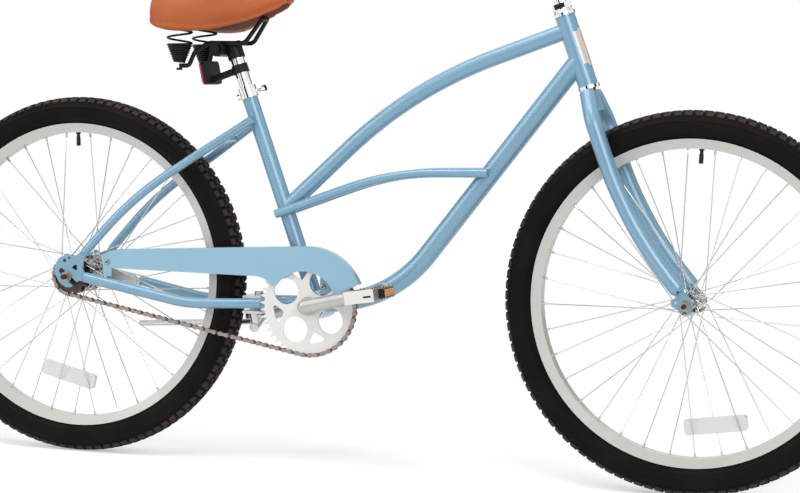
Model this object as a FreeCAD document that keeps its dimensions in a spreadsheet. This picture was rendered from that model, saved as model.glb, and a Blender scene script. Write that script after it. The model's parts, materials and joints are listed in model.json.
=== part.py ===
import FreeCAD, Part

import math
import operator
import os

import Sketcher

Vec = FreeCAD.Vector

# Driving dimensions in millimetres and degrees; names that end in angle, teeth, turns or count are no lengths
sizes = {
    # Layout: axles, bottom bracket, steering axis and seat axis
    "wheelbase": 1164,
    "tyre_radius": 332,
    "crank_drop": 33.8,
    "head_setback": 191.7,
    "head_rise": 368.9,
    "head_angle": 69.6,
    "seat_angle": 69.7,
    # Clearances: welded joints, running pieces, sliding and pressed fits, and one overrun for every cutter
    "weld_gap": 0.05,
    "run_gap": 0.3,
    "fit_gap": 0.05,
    "cut_overrun": 20,
    # Main tubes
    "tube_wall": 1.6,
    "head_length": 128.3,
    "head_radius": 17.5,
    "head_bore_radius": 15.1,
    "top_tube_radius": 14.3,
    "top_tube_seat_reach": 182.6,
    "top_tube_seat_angle": 43,
    "top_tube_head_reach": 103,
    "top_tube_head_angle": 20.3,
    "top_tube_bend": 800,
    "down_tube_radius": 17.5,
    "down_tube_head_reach": 48,
    "down_tube_head_angle": 52.2,
    "down_tube_foot_angle": 8,
    "down_tube_bend": 240,
    "seat_tube_length": 415,
    "seat_tube_radius": 14.3,
    "seat_bore_radius": 12.75,
    "seat_slot_width": 3,
    "seat_slot_depth": 42,
    "mid_tube_radius": 8,
    "mid_tube_bite": 2,
    "mid_tube_seat_reach": 177.8,
    "mid_tube_seat_angle": 20.3,
    "mid_tube_front_reach": 253.1,
    "mid_tube_front_angle": 1.7,
    "mid_tube_bend": 540,
    "shell_length": 68,
    "shell_radius": 27.5,
    "shell_bore_radius": 25.65,
    # Rear stays, from the dropouts forward; ahead, up and drop are taken from the rear axle
    "seatstay_radius": 8,
    "seatstay_bite": 3,
    "seatstay_foot_ahead": 35,
    "seatstay_foot_up": 46,
    "seatstay_knee_ahead": 132,
    "seatstay_knee_up": 153,
    "seatstay_knee_spread": 50,
    "seatstay_knee_bend": 650,
    "seatstay_shoulder_ahead": 247,
    "seatstay_shoulder_up": 227,
    "seatstay_shoulder_spread": 44,
    "seatstay_shoulder_bend": 150,
    "seatstay_seat_reach": 353.8,
    "chainstay_radius": 9.5,
    "chainstay_foot_ahead": 36,
    "chainstay_foot_drop": 0.5,
    "chainstay_knee_ahead": 239,
    "chainstay_knee_drop": 39.5,
    "chainstay_knee_spread": 48,
    "chainstay_knee_bend": 250,
    "chainstay_neck_ahead": 327,
    "chainstay_neck_drop": 36,
    "chainstay_neck_spread": 42,
    "chainstay_neck_bend": 120,
    "chainstay_end_back": 13,
    "chainstay_end_up": 3,
    "chainstay_end_spread": 22,
    "seat_bridge_radius": 6,
    "chain_bridge_radius": 7,
    "chain_bridge_back": 73,
    # Dropouts
    "dropout_reach": 55,
    "dropout_thickness": 5,
    "dropout_inner_half": 55,
    "dropout_corner": 3,
    "dropout_slot_width": 10.4,
    "dropout_slot_run": 15,
    "dropout_slot_angle": 40,
    "dropout_window_corner": 2,
    "eyelet_radius": 2.6,
    "dropout_hole_radius": 3.3,
    "fork_dropout_reach": 47,
    "fork_dropout_inner_half": 50,
    "fork_slot_width": 8.4,
    # Headset, steerer and fork, measured along the steering axis
    "cup_radius": 19.5,
    "cup_height": 6,
    "cup_insert": 8,
    "cup_hole_radius": 13.2,
    "race_height": 4.7,
    "race_neck_radius": 16,
    "washer_height": 2,
    "washer_radius": 16.5,
    "locknut_height": 9,
    "locknut_radius": 19,
    "steerer_radius": 12.7,
    "steerer_bore_radius": 11.2,
    "crown_radius": 14.3,
    "crown_depth": 48,
    "blade_radius": 14.3,
    "blade_root_drop": 14,
    "blade_root_spread": 21,
    "blade_shoulder_drop": 62,
    "blade_shoulder_spread": 50,
    "blade_shoulder_bend": 60,
    "blade_knee_drop": 251,
    "blade_knee_spread": 52,
    "blade_knee_bend": 670,
    "blade_knee_angle": 19.8,
    "blade_foot_length": 137,
    # Stem, handlebar and grips
    "stem_quill_radius": 11.1,
    "stem_quill_depth": 70,
    "stem_neck_height": 52,
    "stem_neck_radius": 13,
    "stem_reach": 62,
    "stem_clamp_radius": 17,
    "stem_clamp_width": 44,
    "stem_bolt_radius": 3,
    "stem_bolt_head_radius": 5.5,
    "bar_radius": 11.1,
    "bar_bend": 55,
    "bar_half_width": 338,
    "bar_rise": 105,
    "bar_sweep": 205,
    "grip_radius": 16.5,
    "grip_length": 130,
    "grip_flange_radius": 20,
    "grip_flange_width": 6,
    # Wheels: radii from the axle, widths from the middle plane
    "tyre_half_width": 27,
    "tyre_belly_radius": 304,
    "tyre_shoulder_radius": 326.3,
    "tyre_shoulder_half_width": 20.5,
    "tyre_crown_bend": 40,
    "tyre_bead_radius": 277,
    "tyre_bead_half_width": 12.2,
    "tyre_bead_thickness": 3,
    "tyre_cavity_radius": 318,
    "tyre_cavity_half_width": 18,
    "rim_edge_radius": 283,
    "rim_edge_half_width": 16,
    "rim_edge_thickness": 2,
    "rim_seat_radius": 276,
    "rim_seat_half_width": 12.4,
    "rim_well_radius": 272,
    "rim_well_half_width": 6,
    "rim_inner_radius": 266,
    "rim_inner_half_width": 11.5,
    "spoke_count": 36,
    "spoke_lead_angle": 60,
    "spoke_radius": 1,
    "spoke_lane_gap": 0.9,
    "nipple_half_side": 1.8,
    "nipple_length": 13,
    "nipple_spread": 2.5,
    "nipple_gap": 0.45,
    "valve_radius": 3,
    "valve_length": 25,
    "front_valve_angle": 87.8,
    "rear_valve_angle": 91.9,
    "reflector_length": 110,
    "reflector_height": 28,
    "reflector_corner": 6,
    "front_reflector_thickness": 10.6,
    "front_reflector_reach": 211.7,
    "front_reflector_angle": -77.2,
    "front_reflector_tilt_angle": 8,
    "rear_reflector_thickness": 9.5,
    "rear_reflector_reach": 192,
    "rear_reflector_angle": -97.1,
    "rear_reflector_tilt_angle": -14,
    # Front hub and axle
    "front_axle_radius": 3.97,
    "front_axle_half_length": 71,
    "front_flange_radius": 19.5,
    "front_flange_half_gap": 34,
    "front_flange_thickness": 2.5,
    "front_barrel_radius": 14,
    "front_hub_end": 39,
    "front_hub_end_radius": 11,
    "front_spacer_radius": 8,
    # Rear hub, axle, sprocket and brake arm
    "rear_axle_radius": 4.75,
    "rear_axle_half_length": 76,
    "rear_flange_radius": 34,
    "rear_flange_left": 27,
    "rear_flange_right": 24,
    "rear_flange_thickness": 3.2,
    "rear_barrel_radius": 20,
    "rear_hub_right_end": 30.5,
    "rear_hub_left_end": 41.6,
    "rear_hub_end_radius": 18,
    "rear_spacer_radius": 9,
    "nut_radius": 8.7,
    "nut_height": 8,
    "axle_washer_radius": 10,
    "axle_washer_height": 1.5,
    "brake_disc_radius": 24,
    "brake_arm_thickness": 3,
    "brake_arm_end_radius": 8,
    "brake_arm_ahead": 93,
    "strap_width": 12,
    "strap_thickness": 1.5,
    # Chain, chainring and sprocket
    "chain_pitch": 12.7,
    "chain_pitch_count": 106,
    "chainring_teeth": 44,
    "sprocket_teeth": 17,
    "chainline": 43.5,
    "tooth_thickness": 2.6,
    "tooth_gap_depth": 4.2,
    "tooth_height": 3.6,
    "chainring_dent_gap": 2,
    "chain_inner_half": 1.65,
    "chain_plate": 1.1,
    "chain_plate_gap": 0.1,
    "chain_plate_half_height": 4.2,
    "roller_radius": 3.87,
    "ring_hole_radius": 23.3,
    "ring_hole_reach": 49.7,
    "ring_hole_angle": 60.2,
    "ring_gap_apex": 47.5,
    "ring_gap_reach": 70.5,
    "ring_gap_half_angle": 17.5,
    "ring_gap_angle": 15,
    "ring_gap_corner": 4,
    "driver_radius": 15,
    "driver_end": 46.5,
    # Crank, its bearings and the pedals
    "crank_length": 152,
    "crank_angle": 13.4,
    "crank_axle_radius": 12,
    "crank_elbow_half": 62,
    "crank_elbow_radius": 13.5,
    "crank_tip_radius": 9.5,
    "crank_boss_half": 69,
    "crank_boss_radius": 14.5,
    "crank_boss_length": 14,
    "crank_collar_radius": 17,
    "crank_collar_thickness": 3,
    "shell_cup_insert": 10,
    "shell_cup_flange": 3,
    "shell_cup_hole_radius": 16.5,
    "cone_radius": 16.2,
    "cone_inner_half": 28,
    "crank_nut_radius": 17.5,
    "crank_nut_thickness": 6,
    "spindle_radius": 5,
    "spindle_thread_radius": 6.5,
    "spindle_collar_radius": 8,
    "spindle_collar_length": 3,
    "pedal_inner_half": 80,
    "pedal_outer_half": 184,
    "pedal_width": 54,
    "pedal_wall": 5,
    "pedal_wall_height": 16,
    "pedal_barrel_radius": 10,
    "pedal_tilt_angle": 9,
    "pedal_holder_length": 62,
    "pedal_holder_height": 17,
    "pedal_holder_depth": 12,
    "cage_height": 23,
    "cage_thickness": 1.5,
    "cage_tooth_count": 7,
    "cage_tooth_depth": 3,
    # Chain guard and its brackets
    "guard_inner_face": 50.2,
    "guard_thickness": 1.2,
    "guard_flange": 13.7,
    "guard_nose_radius": 108,
    "guard_nose_angle": 24,
    "guard_length": 410,
    "guard_window_radius": 64.6,
    "guard_window_back": 7.1,
    "guard_window_drop": 2.1,
    "guard_window_start_angle": 22,
    "guard_window_end_angle": 146,
    "bracket_thickness": 1.5,
    "bracket_width": 26,
    "bracket_ahead": 19,
    "screw_head_radius": 4.5,
    "screw_head_height": 2.5,
    # Kickstand
    "stand_plate_thickness": 5,
    "stand_plate_length": 36,
    "stand_plate_width": 70,
    "stand_back": 114,
    "stand_bolt_radius": 4,
    "stand_head_radius": 8,
    "stand_head_height": 6,
    "stand_pivot_back": 131,
    "stand_pivot_side": 40,
    "stand_pivot_drop": 42,
    "stand_tip_back": 380,
    "stand_tip_side": 57,
    "stand_tip_drop": 59,
    "stand_leg_radius": 5.5,
    "stand_boss_radius": 9,
    "stand_boss_length": 16,
    "stand_neck_radius": 7,
    # Seatpost, its collar and the reflector on it
    "seatpost_radius": 12.7,
    "seatpost_reach": 500,
    "seatpost_length": 230,
    "collar_radius": 17.3,
    "collar_height": 21,
    "collar_ear_reach": 22,
    "collar_ear_width": 20,
    "collar_ear_height": 14,
    "collar_bolt_radius": 3,
    "collar_bolt_length": 57,
    "collar_head_radius": 6,
    "collar_head_height": 6,
    "band_drop": 50,
    "band_height": 16,
    "band_thickness": 2,
    "lamp_arm_length": 42,
    "lamp_arm_height": 12,
    "lamp_arm_width": 8,
    "lamp_width": 70,
    "lamp_height": 42,
    "lamp_depth": 9,
    "lamp_tilt_angle": 12,
    "lamp_corner": 8,
    # Saddle
    "saddle_length": 277,
    "saddle_half_width": 116,
    "saddle_height": 88,
    "saddle_tail_behind": 155.5,
    "saddle_floor_rise": 17.9,
    "pan_thickness": 4,
    "pan_recess": 10,
    "spring_behind": 79.5,
    "spring_side": 55,
    "spring_top_rise": 26.3,
    "spring_waist_drop": 3.1,
    "spring_foot_drop": 36.1,
    "spring_radius": 22,
    "spring_foot_radius": 9,
    "spring_wire_radius": 2.1,
    "spring_loose_turns": 1.5,
    "spring_tight_turns": 6,
    "spring_nut_radius": 6,
    "spring_nut_height": 4,
    "rail_radius": 4,
    "rail_bend": 16,
    "rail_foot_bend": 8,
    "rail_dip_behind": 57.5,
    "rail_dip_spread": 38,
    "rail_dip_drop": 18.1,
    "rail_foot_behind": 65.5,
    "rail_foot_spread": 44,
    "rail_spread": 20,
    "rail_drop": 0.1,
    "rail_nose_spread": 12,
    "rail_nose_ahead": 63.5,
    "rail_nose_rise": 43.7,
    "rail_clamp_ahead": 33.5,
    "rail_clamp_behind": 38.5,
    "drum_behind": 16.5,
    "drum_drop": 11.1,
    "drum_radius": 14,
    "drum_half_width": 33,
    "drum_nut_radius": 8,
    "drum_nut_height": 6,
    "clamp_collar_radius": 15.6,
    "clamp_collar_height": 30,
}

doc = FreeCAD.newDocument("BeachCruiser")
sheet = doc.addObject("Spreadsheet::Sheet", "Sizes")
for row, (size_name, size_value) in enumerate(sizes.items(), 1):
    sheet.set("A%d" % row, size_name)
    sheet.set("B%d" % row, str(size_value))
    sheet.setAlias("B%d" % row, size_name)
doc.recompute()


def sized(value):
    return value if isinstance(value, Size) else Size(value, repr(float(value)))


def arithmetic(sign, work):
    def forward(first, second):
        first, second = sized(first), sized(second)
        text = "(%s %s %s)" % (first.text, sign, second.text)
        return Size(work(float(first), float(second)), text)

    def backward(second, first):
        return forward(first, second)

    return forward, backward


class Size(float):
    """A number from the sheet that keeps the expression it came from, so that a property can be bound to it."""

    def __new__(cls, number, text):
        size = super().__new__(cls, number)
        size.text = text
        return size

    __add__, __radd__ = arithmetic("+", operator.add)
    __sub__, __rsub__ = arithmetic("-", operator.sub)
    __mul__, __rmul__ = arithmetic("*", operator.mul)
    __truediv__, __rtruediv__ = arithmetic("/", operator.truediv)

    def __neg__(self):
        return 0 - self


class Cells:
    def __getattr__(self, name):
        return Size(sheet.get(name), "Sizes." + name)


d = Cells()


# Placing and joining

def place(base, axis=Vec(0, 0, 1)):
    return FreeCAD.Placement(base, FreeCAD.Rotation(Vec(0, 0, 1), axis))


def heading(angle):
    turn = math.radians(angle)
    return Vec(math.cos(turn), 0, math.sin(turn))


def mirrored(spot):
    return Vec(spot.x, -spot.y, spot.z)


def unit(vector):
    return Vec(vector).normalize()


def add(kind, label, **settings):
    piece = doc.addObject(kind, label)
    piece.Label = label
    for name, value in settings.items():
        if isinstance(value, Size):
            piece.setExpression(name, value.text)
        else:
            setattr(piece, name, value)
    return piece


def feature(label, shape):
    piece = doc.addObject("Part::Feature", label)
    piece.Label = label
    piece.Shape = shape
    return piece


def rod(label, radius, base, axis, height):
    return add("Part::Cylinder", label, Radius=radius, Height=height, Placement=place(base, axis))


def block(label, length, width, height, centre, turn=FreeCAD.Rotation()):
    corner = Vec(length, width, height) * -0.5
    return add("Part::Box", label, Length=length, Width=width, Height=height,
               Placement=FreeCAD.Placement(centre + turn.multVec(corner), turn))


def fuse(label, pieces):
    return add("Part::MultiFuse", label, Shapes=list(pieces))


def cut(label, base, tools):
    tool = tools[0] if len(tools) == 1 else fuse(label + "_cutters", tools)
    return add("Part::Cut", label, Base=base, Tool=tool)


def group(label, pieces):
    return add("Part::Compound", label, Links=list(pieces))


def mirror(label, piece):
    return add("Part::Mirroring", label, Source=piece, Normal=Vec(0, 1, 0))


def pair(label, right):
    return group(label, [right, mirror(label + "_left", right)])


def tube(label, radius, bore, base, axis, height):
    skin = rod(label + "_skin", radius, base, axis, height)
    hole = rod(label + "_bore", bore, base, axis, height)
    return cut(label, skin, [hole])


# Bent rods and tubes: straight runs joined by tangent arcs

def rounded(points, bends):
    edges = []
    start = points[0]
    for before, here, after, bend in zip(points, points[1:], points[2:], bends):
        back = unit(before - here)
        ahead = unit(after - here)
        half = back.getAngle(ahead) / 2
        reach = bend / math.tan(half)
        middle = here + unit(back + ahead) * (bend / math.sin(half) - bend)
        edges.append(Part.makeLine(start, here + back * reach))
        edges.append(Part.Arc(here + back * reach, middle, here + ahead * reach).toShape())
        start = here + ahead * reach
    edges.append(Part.makeLine(start, points[-1]))
    return edges


def bent_rod(label, points, bends, radius):
    edges = rounded(points, bends)
    path = feature(label + "_path", Part.Wire(edges))
    ring = add("Part::Circle", label + "_ring", Radius=radius, Placement=place(points[0], points[1] - points[0]))
    names = ["Edge%d" % number for number in range(1, len(edges) + 1)]
    return add("Part::Sweep", label, Sections=[ring], Spine=(path, names), Solid=True)


def bent_tube(label, points, bends, radius, wall, copes):
    skin = bent_rod(label + "_skin", points, bends, radius)
    hole = bent_rod(label + "_bore", points, bends, radius - wall)
    return cut(label, skin, [hole] + copes)


# Flat plates: outlines in the XZ plane, drawn from a centre in shares of one size

def outline(centre, size, shares):
    return [centre + Vec(across * size, 0, up * size) for across, up in shares]


corner_limit_share = 0.45


def loop(points, corner):
    ends = []
    for index, here in enumerate(points):
        back = points[index - 1] - here
        ahead = points[(index + 1) % len(points)] - here
        half = back.getAngle(ahead) / 2
        reach = min(corner / math.tan(half), corner_limit_share * min(back.Length, ahead.Length))
        bend = reach * math.tan(half)
        middle = here + unit(unit(back) + unit(ahead)) * (bend / math.sin(half) - bend)
        ends.append((here + unit(back) * reach, middle, here + unit(ahead) * reach))
    edges = []
    for index, (first, middle, last) in enumerate(ends):
        edges.append(Part.Arc(first, middle, last).toShape())
        edges.append(Part.makeLine(last, ends[(index + 1) % len(ends)][0]))
    return Part.Face(Part.Wire(edges))


def polygon(points):
    return Part.Face(Part.makePolygon(list(points) + [points[0]]))


def disc(centre, radius):
    return Part.Face(Part.Wire(Part.makeCircle(radius, centre, Vec(0, 1, 0))))


def slot(mouth, foot, width):
    """An open-ended slot with a round inner end at the mouth, running through the foot."""
    along = unit(foot - mouth)
    across = along.cross(Vec(0, 1, 0)) * (width / 2)
    round_end = Part.Arc(mouth + across, mouth - along * (width / 2), mouth - across).toShape()
    sides = Part.makePolygon([mouth - across, foot - across, foot + across, mouth + across])
    return Part.Face(Part.Wire([round_end] + sides.Edges))


def plate(label, face, thickness, side=1):
    sheet_face = feature(label + "_face", face)
    return add("Part::Extrusion", label, Base=sheet_face, DirMode="Custom", Dir=Vec(0, side, 0),
               LengthFwd=thickness, Solid=True)


# Turned pieces: a closed outline of (radius, height) or (radius, height, bend) points, turned about its own axis;
# a bend draws an outward arc of that radius from its point to the next

def turned(label, points, placement):
    body = doc.addObject("PartDesign::Body", label)
    body.Label = label
    sketch = body.newObject("Sketcher::SketchObject", label + "_outline")
    plane = [item for item in body.Origin.OriginFeatures if item.Role == "XZ_Plane"][0]
    sketch.AttachmentSupport = [(plane, "")]
    sketch.MapMode = "FlatFace"
    flat = [Vec(point[0], point[1], 0) for point in points]
    tips = []
    for index, point in enumerate(points):
        start, end = flat[index], flat[(index + 1) % len(flat)]
        if len(point) == 2:
            edge = sketch.addGeometry(Part.LineSegment(start, end))
            tips.append((edge, 1, 2))
            continue
        chord = end - start
        rise = point[2] - math.sqrt(point[2] ** 2 - (chord.Length / 2) ** 2)
        outward = unit(Vec(chord.y, -chord.x, 0))
        middle = (start + end) * 0.5 + outward * rise
        edge = sketch.addGeometry(Part.Arc(start, middle, end))
        ahead = sketch.Geometry[edge].StartPoint.distanceToPoint(start) < rise
        tips.append((edge, 1, 2) if ahead else (edge, 2, 1))
        number = sketch.addConstraint(Sketcher.Constraint("Radius", edge, point[2]))
        sketch.setExpression("Constraints[%d]" % number, point[2].text)
    for index, point in enumerate(points):
        edge, first, last = tips[index]
        after, after_first, after_last = tips[(index + 1) % len(tips)]
        sketch.addConstraint(Sketcher.Constraint("Coincident", edge, last, after, after_first))
        for kind, axis, value in (("DistanceX", -2, point[0]), ("DistanceY", -1, point[1])):
            if value == 0:
                sketch.addConstraint(Sketcher.Constraint("PointOnObject", edge, first, axis))
                continue
            number = sketch.addConstraint(Sketcher.Constraint(kind, -1, 1, edge, first, value))
            sketch.setExpression("Constraints[%d]" % number, value.text)
    spin = body.newObject("PartDesign::Revolution", label + "_turn")
    spin.Profile = sketch
    spin.ReferenceAxis = (sketch, ["V_Axis"])
    spin.Angle = 360
    body.Tip = spin
    body.Placement = placement
    return body


def ring(label, bore, radius, low, high, placement):
    return turned(label, [(bore, low), (radius, low), (radius, high), (bore, high)], placement)


# Axles, axes and the bottom bracket, whose place closes the chain's loop

across = Vec(0, 1, 0)
rear = Vec(-d.wheelbase / 2, 0, d.tyre_radius)
front = Vec(d.wheelbase / 2, 0, d.tyre_radius)
ring_pitch_radius = d.chain_pitch * d.chainring_teeth / (2 * math.pi)
sprocket_pitch_radius = d.chain_pitch * d.sprocket_teeth / (2 * math.pi)
chain_length = d.chain_pitch * d.chain_pitch_count


def chain_lean(centres):
    return math.asin((ring_pitch_radius - sprocket_pitch_radius) / centres)


def loop_length(centres):
    lean = chain_lean(centres)
    wraps = ring_pitch_radius * (math.pi + 2 * lean) + sprocket_pitch_radius * (math.pi - 2 * lean)
    return 2 * centres * math.cos(lean) + wraps


solving_count = 30
crank_reach = float(chain_length / 3)
for step in range(solving_count):
    crank_reach += float(chain_length - loop_length(crank_reach)) / 2
shell_centre = rear + Vec(math.sqrt(crank_reach ** 2 - d.crank_drop ** 2), 0, -d.crank_drop)

steer_up = heading(180 - d.head_angle)
steer_ahead = heading(90 - d.head_angle)
head_low = front + Vec(-d.head_setback, 0, d.head_rise)
seat_up = heading(180 - d.seat_angle)
seat_back = heading(270 - d.seat_angle)


def head_at(reach):
    return head_low + steer_up * reach


def fork_at(drop, spread, ahead=0):
    return head_low - steer_up * drop + steer_ahead * ahead - across * spread


def seat_at(reach):
    return shell_centre + seat_up * reach


def crossing(first, first_angle, second, second_angle):
    run, other = heading(first_angle), heading(second_angle)
    gap = second - first
    reach = (gap.x * other.z - gap.z * other.x) / (run.x * other.z - run.z * other.x)
    return first + run * reach


def from_rear(ahead, up, spread=0):
    return rear + Vec(ahead, -spread, up)


# Routes of the bent tubes

top_tube_ends = seat_at(d.top_tube_seat_reach), head_at(d.top_tube_head_reach)
top_tube_points = [top_tube_ends[0],
                   crossing(top_tube_ends[0], d.top_tube_seat_angle, top_tube_ends[1], d.top_tube_head_angle),
                   top_tube_ends[1]]
down_tube_top = head_at(d.down_tube_head_reach)
down_tube_points = [shell_centre,
                    crossing(shell_centre, d.down_tube_foot_angle, down_tube_top, d.down_tube_head_angle),
                    down_tube_top]

mid_seat_spread = d.seat_tube_radius + d.mid_tube_radius - d.mid_tube_bite
mid_front_spread = d.down_tube_radius + d.mid_tube_radius - d.mid_tube_bite
mid_seat_end = seat_at(d.mid_tube_seat_reach) - heading(d.mid_tube_seat_angle) * d.seat_tube_radius
mid_front_end = down_tube_top - heading(d.down_tube_head_angle) * d.mid_tube_front_reach
mid_bend_spot = crossing(mid_seat_end, d.mid_tube_seat_angle, mid_front_end, d.mid_tube_front_angle)
mid_tube_points = [mid_seat_end - across * mid_seat_spread,
                   mid_bend_spot - across * ((mid_seat_spread + mid_front_spread) / 2),
                   mid_front_end - across * mid_front_spread]

dropout_spread = d.dropout_inner_half + d.dropout_thickness / 2
seatstay_end_spread = d.seat_tube_radius + d.seatstay_radius - d.seatstay_bite
seatstay_points = [from_rear(d.seatstay_foot_ahead, d.seatstay_foot_up, dropout_spread),
                   from_rear(d.seatstay_knee_ahead, d.seatstay_knee_up, d.seatstay_knee_spread),
                   from_rear(d.seatstay_shoulder_ahead, d.seatstay_shoulder_up, d.seatstay_shoulder_spread),
                   seat_at(d.seatstay_seat_reach) - across * seatstay_end_spread]
seatstay_bends = [d.seatstay_knee_bend, d.seatstay_shoulder_bend]
chainstay_points = [from_rear(d.chainstay_foot_ahead, -d.chainstay_foot_drop, dropout_spread),
                    from_rear(d.chainstay_knee_ahead, -d.chainstay_knee_drop, d.chainstay_knee_spread),
                    from_rear(d.chainstay_neck_ahead, -d.chainstay_neck_drop, d.chainstay_neck_spread),
                    shell_centre + Vec(-d.chainstay_end_back, -d.chainstay_end_spread, d.chainstay_end_up)]
chainstay_bends = [d.chainstay_knee_bend, d.chainstay_neck_bend]


# Frame

def head_cutter(label):
    return rod(label, d.head_radius + d.weld_gap, head_at(-d.cut_overrun), steer_up,
               d.head_length + 2 * d.cut_overrun)


def seat_cutter(label):
    return rod(label, d.seat_tube_radius + d.weld_gap, seat_at(0), seat_up, d.seat_tube_length + d.cut_overrun)


def shell_cutter(label):
    return rod(label, d.shell_radius + d.weld_gap, shell_centre - across * d.shell_length, across,
               2 * d.shell_length)


def top_tube_cutter(label):
    return bent_rod(label, top_tube_points, [d.top_tube_bend], d.top_tube_radius + d.weld_gap)


def down_tube_cutter(label):
    return bent_rod(label, down_tube_points, [d.down_tube_bend], d.down_tube_radius + d.weld_gap)


def head_tube():
    return tube("head_tube", d.head_radius, d.head_bore_radius, head_at(0), steer_up, d.head_length)


def top_tube():
    copes = [seat_cutter("top_tube_seat_cope"), head_cutter("top_tube_head_cope")]
    return bent_tube("top_tube", top_tube_points, [d.top_tube_bend], d.top_tube_radius, d.tube_wall, copes)


def down_tube():
    copes = [shell_cutter("down_tube_shell_cope"), head_cutter("down_tube_head_cope")]
    return bent_tube("down_tube", down_tube_points, [d.down_tube_bend], d.down_tube_radius, d.tube_wall, copes)


def seat_tube():
    skin = rod("seat_tube_skin", d.seat_tube_radius, seat_at(0), seat_up, d.seat_tube_length)
    hole = rod("seat_tube_bore", d.seat_bore_radius, seat_at(0), seat_up, d.seat_tube_length)
    notch = block("seat_tube_slot", d.seat_slot_width, d.seat_tube_radius * 2, d.seat_slot_depth * 2,
                  seat_at(d.seat_tube_length) + across * d.seat_tube_radius,
                  FreeCAD.Rotation(Vec(0, 0, 1), seat_up))
    return cut("seat_tube", skin, [hole, notch, shell_cutter("seat_tube_shell_cope")])


def mid_tubes():
    rods = bent_rod("mid_tube_rod", mid_tube_points, [d.mid_tube_bend], d.mid_tube_radius)
    copes = [seat_cutter("mid_tube_seat_cope"), top_tube_cutter("mid_tube_top_cope"),
             down_tube_cutter("mid_tube_front_cope")]
    return pair("mid_tubes", cut("mid_tube_right", rods, copes))


def bottom_bracket_shell():
    return tube("bottom_bracket_shell", d.shell_radius, d.shell_bore_radius,
                shell_centre - across * (d.shell_length / 2), across, d.shell_length)


dropout_shares = [(0.8, 0.89), (0.655, 1), (0.345, 0.71), (0.127, 0.69), (0.055, 0.764), (-0.055, 0.764),
                  (-0.145, 0.673), (-0.327, 0.6), (-0.455, 0.31), (-0.436, 0.036), (-0.273, -0.218),
                  (-0.055, -0.364), (0.146, -0.364), (0.255, -0.273), (0.436, -0.127), (0.655, -0.146),
                  (0.873, -0.146), (0.873, 0.055), (0.655, 0.127), (0.564, 0.29), (0.6, 0.546)]
dropout_window_shares = [(0.146, 0.31), (0.364, 0.436), (0.382, 0.19)]
dropout_eyelet_share = (0.084, 0.627)
dropout_hole_share = (-0.091, 0.536)


def dropout_face(side_y):
    centre = rear + across * side_y
    face = loop(outline(centre, d.dropout_reach, dropout_shares), d.dropout_corner)
    slope = heading(-d.dropout_slot_angle)
    axle_slot = slot(centre - slope * d.dropout_slot_run, centre + slope * d.dropout_reach, d.dropout_slot_width)
    window = loop(outline(centre, d.dropout_reach, dropout_window_shares), d.dropout_window_corner)
    eyelet = disc(outline(centre, d.dropout_reach, [dropout_eyelet_share])[0], d.eyelet_radius)
    hole = disc(outline(centre, d.dropout_reach, [dropout_hole_share])[0], d.dropout_hole_radius)
    return face.cut(axle_slot).cut(window).cut(eyelet).cut(hole)


def rear_dropouts():
    right = plate("rear_dropout_right", dropout_face(-d.dropout_inner_half), d.dropout_thickness, -1)
    return pair("rear_dropouts", right)


def dropout_cutter(label):
    start = d.weld_gap - d.dropout_inner_half
    face = loop(outline(rear + across * start, d.dropout_reach, dropout_shares), d.dropout_corner)
    return plate(label, face, d.dropout_thickness + 2 * d.weld_gap, -1)


def seatstays():
    rods = bent_rod("seatstay_rod", seatstay_points, seatstay_bends, d.seatstay_radius)
    copes = [seat_cutter("seatstay_seat_cope"), dropout_cutter("seatstay_foot_slot")]
    return pair("seatstays", cut("seatstay_right", rods, copes))


def chainstays():
    rods = bent_rod("chainstay_rod", chainstay_points, chainstay_bends, d.chainstay_radius)
    copes = [shell_cutter("chainstay_shell_cope"), dropout_cutter("chainstay_foot_slot")]
    left = mirror("chainstay_left", cut("chainstay_plain", rods, copes))
    dent_face = d.chainline - d.tooth_thickness / 2 - d.chainring_dent_gap
    dent = rod("chainring_dent", ring_pitch_radius + d.tooth_height + d.chainring_dent_gap,
               shell_centre - across * dent_face, -across, d.cut_overrun)
    return group("chainstays", [cut("chainstay_right", rods, copes + [dent]), left])


seat_bridge_share = 0.47


def between(first, second, share):
    return first + (second - first) * share


def bridge(label, spot, radius, points, bends, stay_radius):
    spread = -spot.y
    bar = rod(label + "_bar", radius, spot, across, 2 * spread)
    right = bent_rod(label + "_cope", points, bends, stay_radius + d.weld_gap)
    return cut(label, bar, [right, mirror(label + "_cope_left", right)])


def stay_bridges():
    seat_spot = between(seatstay_points[2], seatstay_points[3], seat_bridge_share)
    run = chainstay_points[3] - chainstay_points[2]
    back = (shell_centre.x - d.chain_bridge_back - chainstay_points[2].x) / run.x
    chain_spot = chainstay_points[2] + run * back
    seat_bridge = bridge("seat_bridge", seat_spot, d.seat_bridge_radius, seatstay_points, seatstay_bends,
                         d.seatstay_radius)
    chain_bridge = bridge("chain_bridge", chain_spot, d.chain_bridge_radius, chainstay_points, chainstay_bends,
                          d.chainstay_radius)
    return group("stay_bridges", [seat_bridge, chain_bridge])


# Headset and fork

steer_place = place(head_low, steer_up)


def headset_cups():
    insert = d.head_bore_radius - d.fit_gap
    hole = d.cup_hole_radius
    top = d.head_length
    lower = turned("lower_cup", [(hole, -d.cup_height), (d.cup_radius, -d.cup_height), (d.cup_radius, sized(0)),
                                 (insert, sized(0)), (insert, d.cup_insert), (hole, d.cup_insert)], steer_place)
    upper = turned("upper_cup", [(hole, top - d.cup_insert), (insert, top - d.cup_insert), (insert, top),
                                 (d.cup_radius, top), (d.cup_radius, top + d.cup_height),
                                 (hole, top + d.cup_height)], steer_place)
    return group("headset_cups", [lower, upper])


crown_top = -d.cup_height - d.run_gap - d.race_height
stack_low = d.head_length + d.cup_height + d.run_gap
stack_top = stack_low + d.race_height + d.washer_height + d.locknut_height


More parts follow.
